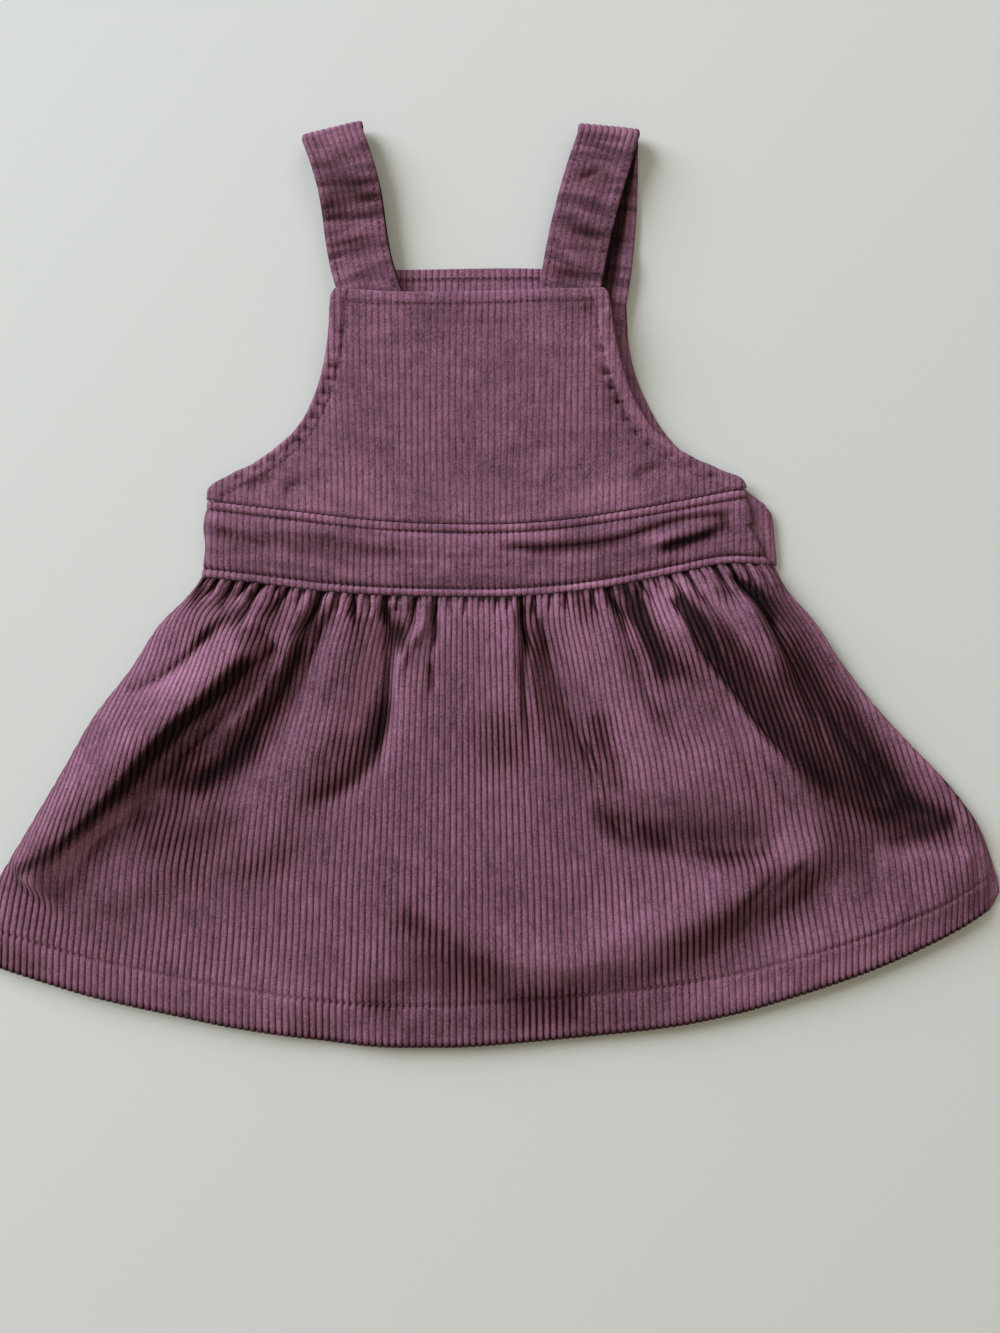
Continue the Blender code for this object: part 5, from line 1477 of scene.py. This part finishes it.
# %% Corduroy: colours and how much each mark shows
PLUM_TOP = (0.192, 0.086, 0.132, 1)      # crest of a wale
PLUM_SHADOW = (0.088, 0.033, 0.040, 1)   # painted shadow colour of a wale's crest in a hollow
PLUM_GROOVE = (0.020, 0.005, 0.007, 1)   # ground between two wales: its own dark colour, and painted shade of the groove
TONE = 1.03                 # brightness of the flat cloth
STREAKS = 1.0               # by the wale, along it
PILE, PILE_SCALE = 1.5, 1500.0
TUFTS, TUFT_SCALE = 0.8, 700.0
NAP_MARKS, NAP_SCALE = 0.9, 38.0
CREST_LIGHT = 0.22          # painted highlight on the crests, stronger where the random nap is brushed up
PALE_LIGHT = 0.32           # painted light where the stored shade is below 0
DEEP = 7.2                  # stored shade at which a hollow has its full shadow colour
TILT_SHADE = 2.6            # painted shade of a face that leans away from the window light
DARKEST = 0.75              # how much more painted shade the deepest hollows get
GROOVES = {                 # how dark the grooves are: on flat cloth, and with painted shade in a hollow
    "front_skirt": (0.4, 0.7),
    "front_waistband": (0.3, 0.45),
    "front_bib": (0.32, 0.5),
    "back_skirt": (0.4, 0.7),
    "back_waistband": (0.4, 0.7),
    "back_bodice": (0.55, 0.7),
    "strap_left": (0.14, 0.2),
    "strap_right": (0.14, 0.2),
}
# how much each piece is crumpled: bumps, with painted shade in the crease bands
CREASED = {"strap_left": 0.5, "strap_right": 0.5, "front_bib": 0.15, "front_waistband": 0.3}
print("colours of the corduroy:", PLUM_TOP[:3], PLUM_SHADOW[:3], PLUM_GROOVE[:3])


# %% Corduroy: its nodes
def corduroy(name, seed, grooves, deep_grooves, creased, inside):
    """Plum corduroy for one piece.

    `grooves` is how dark the grooves of the flat cloth are, `deep_grooves` how much painted shade
    they get in a hollow, and `creased` how much the cloth is crumpled across its wales: bumps, with
    painted shade in the crease bands. `inside` adds wales as bumps.
    """
    recipe = Recipe(name)
    # hollow is the stored painted shade (below 0 painted light); tilt is how far a face leans to the shaded
    # side
    wale, along, hollow, tilt = (recipe.attribute(key) for key in ("wale", "along", "hollow", "tilt"))
    place = recipe.node("ShaderNodeTexCoord", {}, output="Object")
    from_crest = (wale.math("FRACT") - 0.5).math("ABSOLUTE") * 2
    streak = recipe.noise(recipe.point(wale * 0.9, along * 0.12, float(seed)), 1.0, 2.0)
    pile = recipe.noise(place, PILE_SCALE, 1.0)
    tuft = recipe.noise(place, TUFT_SCALE, 1.0)
    nap = recipe.noise(place, NAP_SCALE, 3.0)
    brushed = nap.step(0.35, 0.65)
    crest = 1 - from_crest.step(0.05, 0.45)
    tone = TONE + (streak - 0.5) * STREAKS + (pile - 0.5) * PILE + (tuft - 0.5) * TUFTS
    # the random nap marks, and a painted highlight on the crests
    tone = tone + (nap - 0.5) * NAP_MARKS + crest * CREST_LIGHT * brushed
    # painted light where the stored shade is below 0
    tone = tone + (hollow * -1).step(0.2, 3.5) * PALE_LIGHT
    raised = pile + tuft
    if creased:
        crease = recipe.noise(recipe.point(wale * 0.1, along * 0.2, float(seed)), 1.0, 3.0)
        # painted shade in the bands of the crease noise
        tone = tone * (1 - (1 - crease.step(0.36, 0.6)) * creased)
        raised = raised + crease * 5.0 * creased
    if inside:
        raised = raised + (1 - from_crest ** 2) * 1.2
    # painted shade on faces that lean away from the window light
    hollow = hollow + tilt.step(0.0, 0.27) * TILT_SHADE
    # how far a place goes into the painted shadow colour
    deep = (hollow / DEEP).math("MINIMUM", 1.0).math("MAXIMUM", 0.0)
    # the grooves widen and darken with painted shade in a hollow
    groove = from_crest.step(0.62 - deep * 0.3, 0.95 - deep * 0.15)
    in_groove = groove * (grooves * (0.5 + brushed) + deep * deep_grooves)
    # painted shadow colour on the crests in a hollow
    crest_colour = recipe.mix(deep * 0.9, PLUM_TOP, PLUM_SHADOW)
    shaded = recipe.mix(in_groove, crest_colour, PLUM_GROOVE)
    # painted shade once more in the deepest hollows
    tone = tone * (1 - hollow.step(5.0, 12.0) * DARKEST)
    colour = recipe.mix(1.0, shaded, recipe.grey(tone), blend="MULTIPLY")
    bump = recipe.node("ShaderNodeBump", {}, {"Strength": 0.6, "Distance": 0.0004, "Height": raised})
    shader = recipe.node("ShaderNodeBsdfPrincipled", {}, {
        "Base Color": colour, "Roughness": 0.95, "Specular IOR Level": 0.08, "Normal": bump,
        "Sheen Weight": 0.06, "Sheen Roughness": 0.45, "Sheen Tint": (0.9, 0.75, 0.95, 1)})
    return recipe.finish(shader)


cloths = {
    "front_skirt": front_skirt, "front_waistband": front_waistband, "front_bib": front_bib,
    "back_skirt": back_skirt, "back_waistband": back_waistband, "back_bodice": back_bodice, **straps}
for seed, (node, item) in enumerate(cloths.items()):
    item.data.materials.append(corduroy(
        node + "_corduroy", seed, *GROOVES[node], CREASED.get(node, 0.0), node.startswith("back")))
print("corduroys:", len(bpy.data.materials))

# %% Sewing thread
THREAD = (0.095, 0.036, 0.055, 1)


def thread(name, colour):
    """Spun sewing thread, a little glossier than the pile, with the light bands of its twist."""
    recipe = Recipe(name)
    place = recipe.node("ShaderNodeTexCoord", {}, output="Object")
    twist = recipe.noise(place, 2400.0, 1.0)
    twisted = recipe.mix(1.0, colour, recipe.grey(0.6 + twist * 0.8), blend="MULTIPLY")
    return recipe.finish(recipe.node("ShaderNodeBsdfPrincipled", {}, {
        "Base Color": twisted, "Roughness": 0.65, "Specular IOR Level": 0.3}))


for node, item in stitches.items():
    item.data.materials.append(thread(node + "_thread", THREAD))
print("materials:", len(bpy.data.materials))

# %% [markdown]
# ## Stage, light and camera
# The table is plain and pale. A large soft light comes in low from the left and above, as from a
# window, so that each rib and fold has a light and a dark side, and a weaker one comes from
# behind. The room gives the rest. The camera looks straight down.

# %% Table
bpy.ops.object.select_all(action="DESELECT")
bpy.ops.mesh.primitive_plane_add(size=6.0, location=(0, 0, -0.0002))
table = bpy.context.object
table.name = "table"
recipe = Recipe("table_top")
table.data.materials.append(recipe.finish(recipe.node("ShaderNodeBsdfPrincipled", {}, {
    "Base Color": (0.60, 0.615, 0.58, 1), "Roughness": 0.9})))
print("table, m:", list(table.dimensions))

# %% Lights
LIGHTS = [  # name, turn and rise in degrees, distance, size, watts
    ("window_light", 147.0, 23.0, 4.0, 3.0, 298.0),
    ("far_window_light", 70.0, 28.0, 4.0, 1.8, 30.0),
]
for name, turn, rise, away, size, watts in LIGHTS:
    turn, rise = math.radians(turn), math.radians(rise)
    level = away * math.cos(rise)
    spot = [level * math.cos(turn), level * math.sin(turn), away * math.sin(rise)]
    bpy.ops.object.light_add(type="AREA", location=spot, rotation=(math.pi / 2 - rise, 0, turn + math.pi / 2))
    light = bpy.context.object
    light.name = name
    light.data.shape = "DISK"
    light.data.size = size
    light.data.energy = watts
    light.data.color = (0.83, 0.89, 1.0)
    print(name, "stands at", [round(part, 2) for part in spot], "m")

# %% Light of the room
world = bpy.data.worlds.new("room")
bpy.context.scene.world = world
world.use_nodes = True
background = world.node_tree.nodes["Background"]
background.inputs["Color"].default_value = (1.0, 0.9, 0.7, 1)
background.inputs["Strength"].default_value = 0.40
print("the room's light is", background.inputs["Strength"].default_value)

# %% Camera
CAMERA_X, CAMERA_Y, CAMERA_HIGH = 4.8, -37.3, 464.0     # mm
SENSOR_WIDTH = 36.0
FOCAL_SHARE = 1.001                                     # focal length as a share of it
bpy.ops.object.camera_add(location=(CAMERA_X * MM, CAMERA_Y * MM, CAMERA_HIGH * MM), rotation=(0, 0, 0))
camera = bpy.context.object
camera.data.sensor_fit = "HORIZONTAL"
camera.data.sensor_width = SENSOR_WIDTH
camera.data.lens = SENSOR_WIDTH * FOCAL_SHARE
camera.data.clip_start = 0.01
bpy.context.scene.camera = camera
bpy.context.scene.view_settings.view_transform = "Standard"
print("the camera is", CAMERA_HIGH, "mm above the table")

# %% [markdown]
# ## Onto the dress's body
# Every piece of cloth rides on the dress's one body and stands for its solid, which is hidden.
# The size that it is cut to is printed. The stitches ride with it.

for node, item in cloths.items():
    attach(item, "root")
    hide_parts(node)
for node, item in stitches.items():
    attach(item, "root")
print("pieces of cloth and of stitches:", len(cloths), len(stitches))

woven = {
    "front_skirt": skirt_cloth, "front_waistband": band_cloth, "front_bib": bib_cloth,
    "back_skirt": back_skirt_cloth, "back_waistband": back_band_cloth, "back_bodice": bodice_cloth}
for node, item in cloths.items():
    if node in woven:
        width, length, area = woven[node].cut()
    else:
        width, length = 2 * STRAP_WIDTH * MM, strap_lengths[node] * MM
        area = width * length
    held = {"front_skirt": "gathered"}.get(node, "folded" if node in straps else "laid")
    with_pieces = [stitches[node]] if node in stitches else []
    print(node, "is cut", round(width, 3), "by", round(length, 3), "m,", round(area, 4), "square metres")
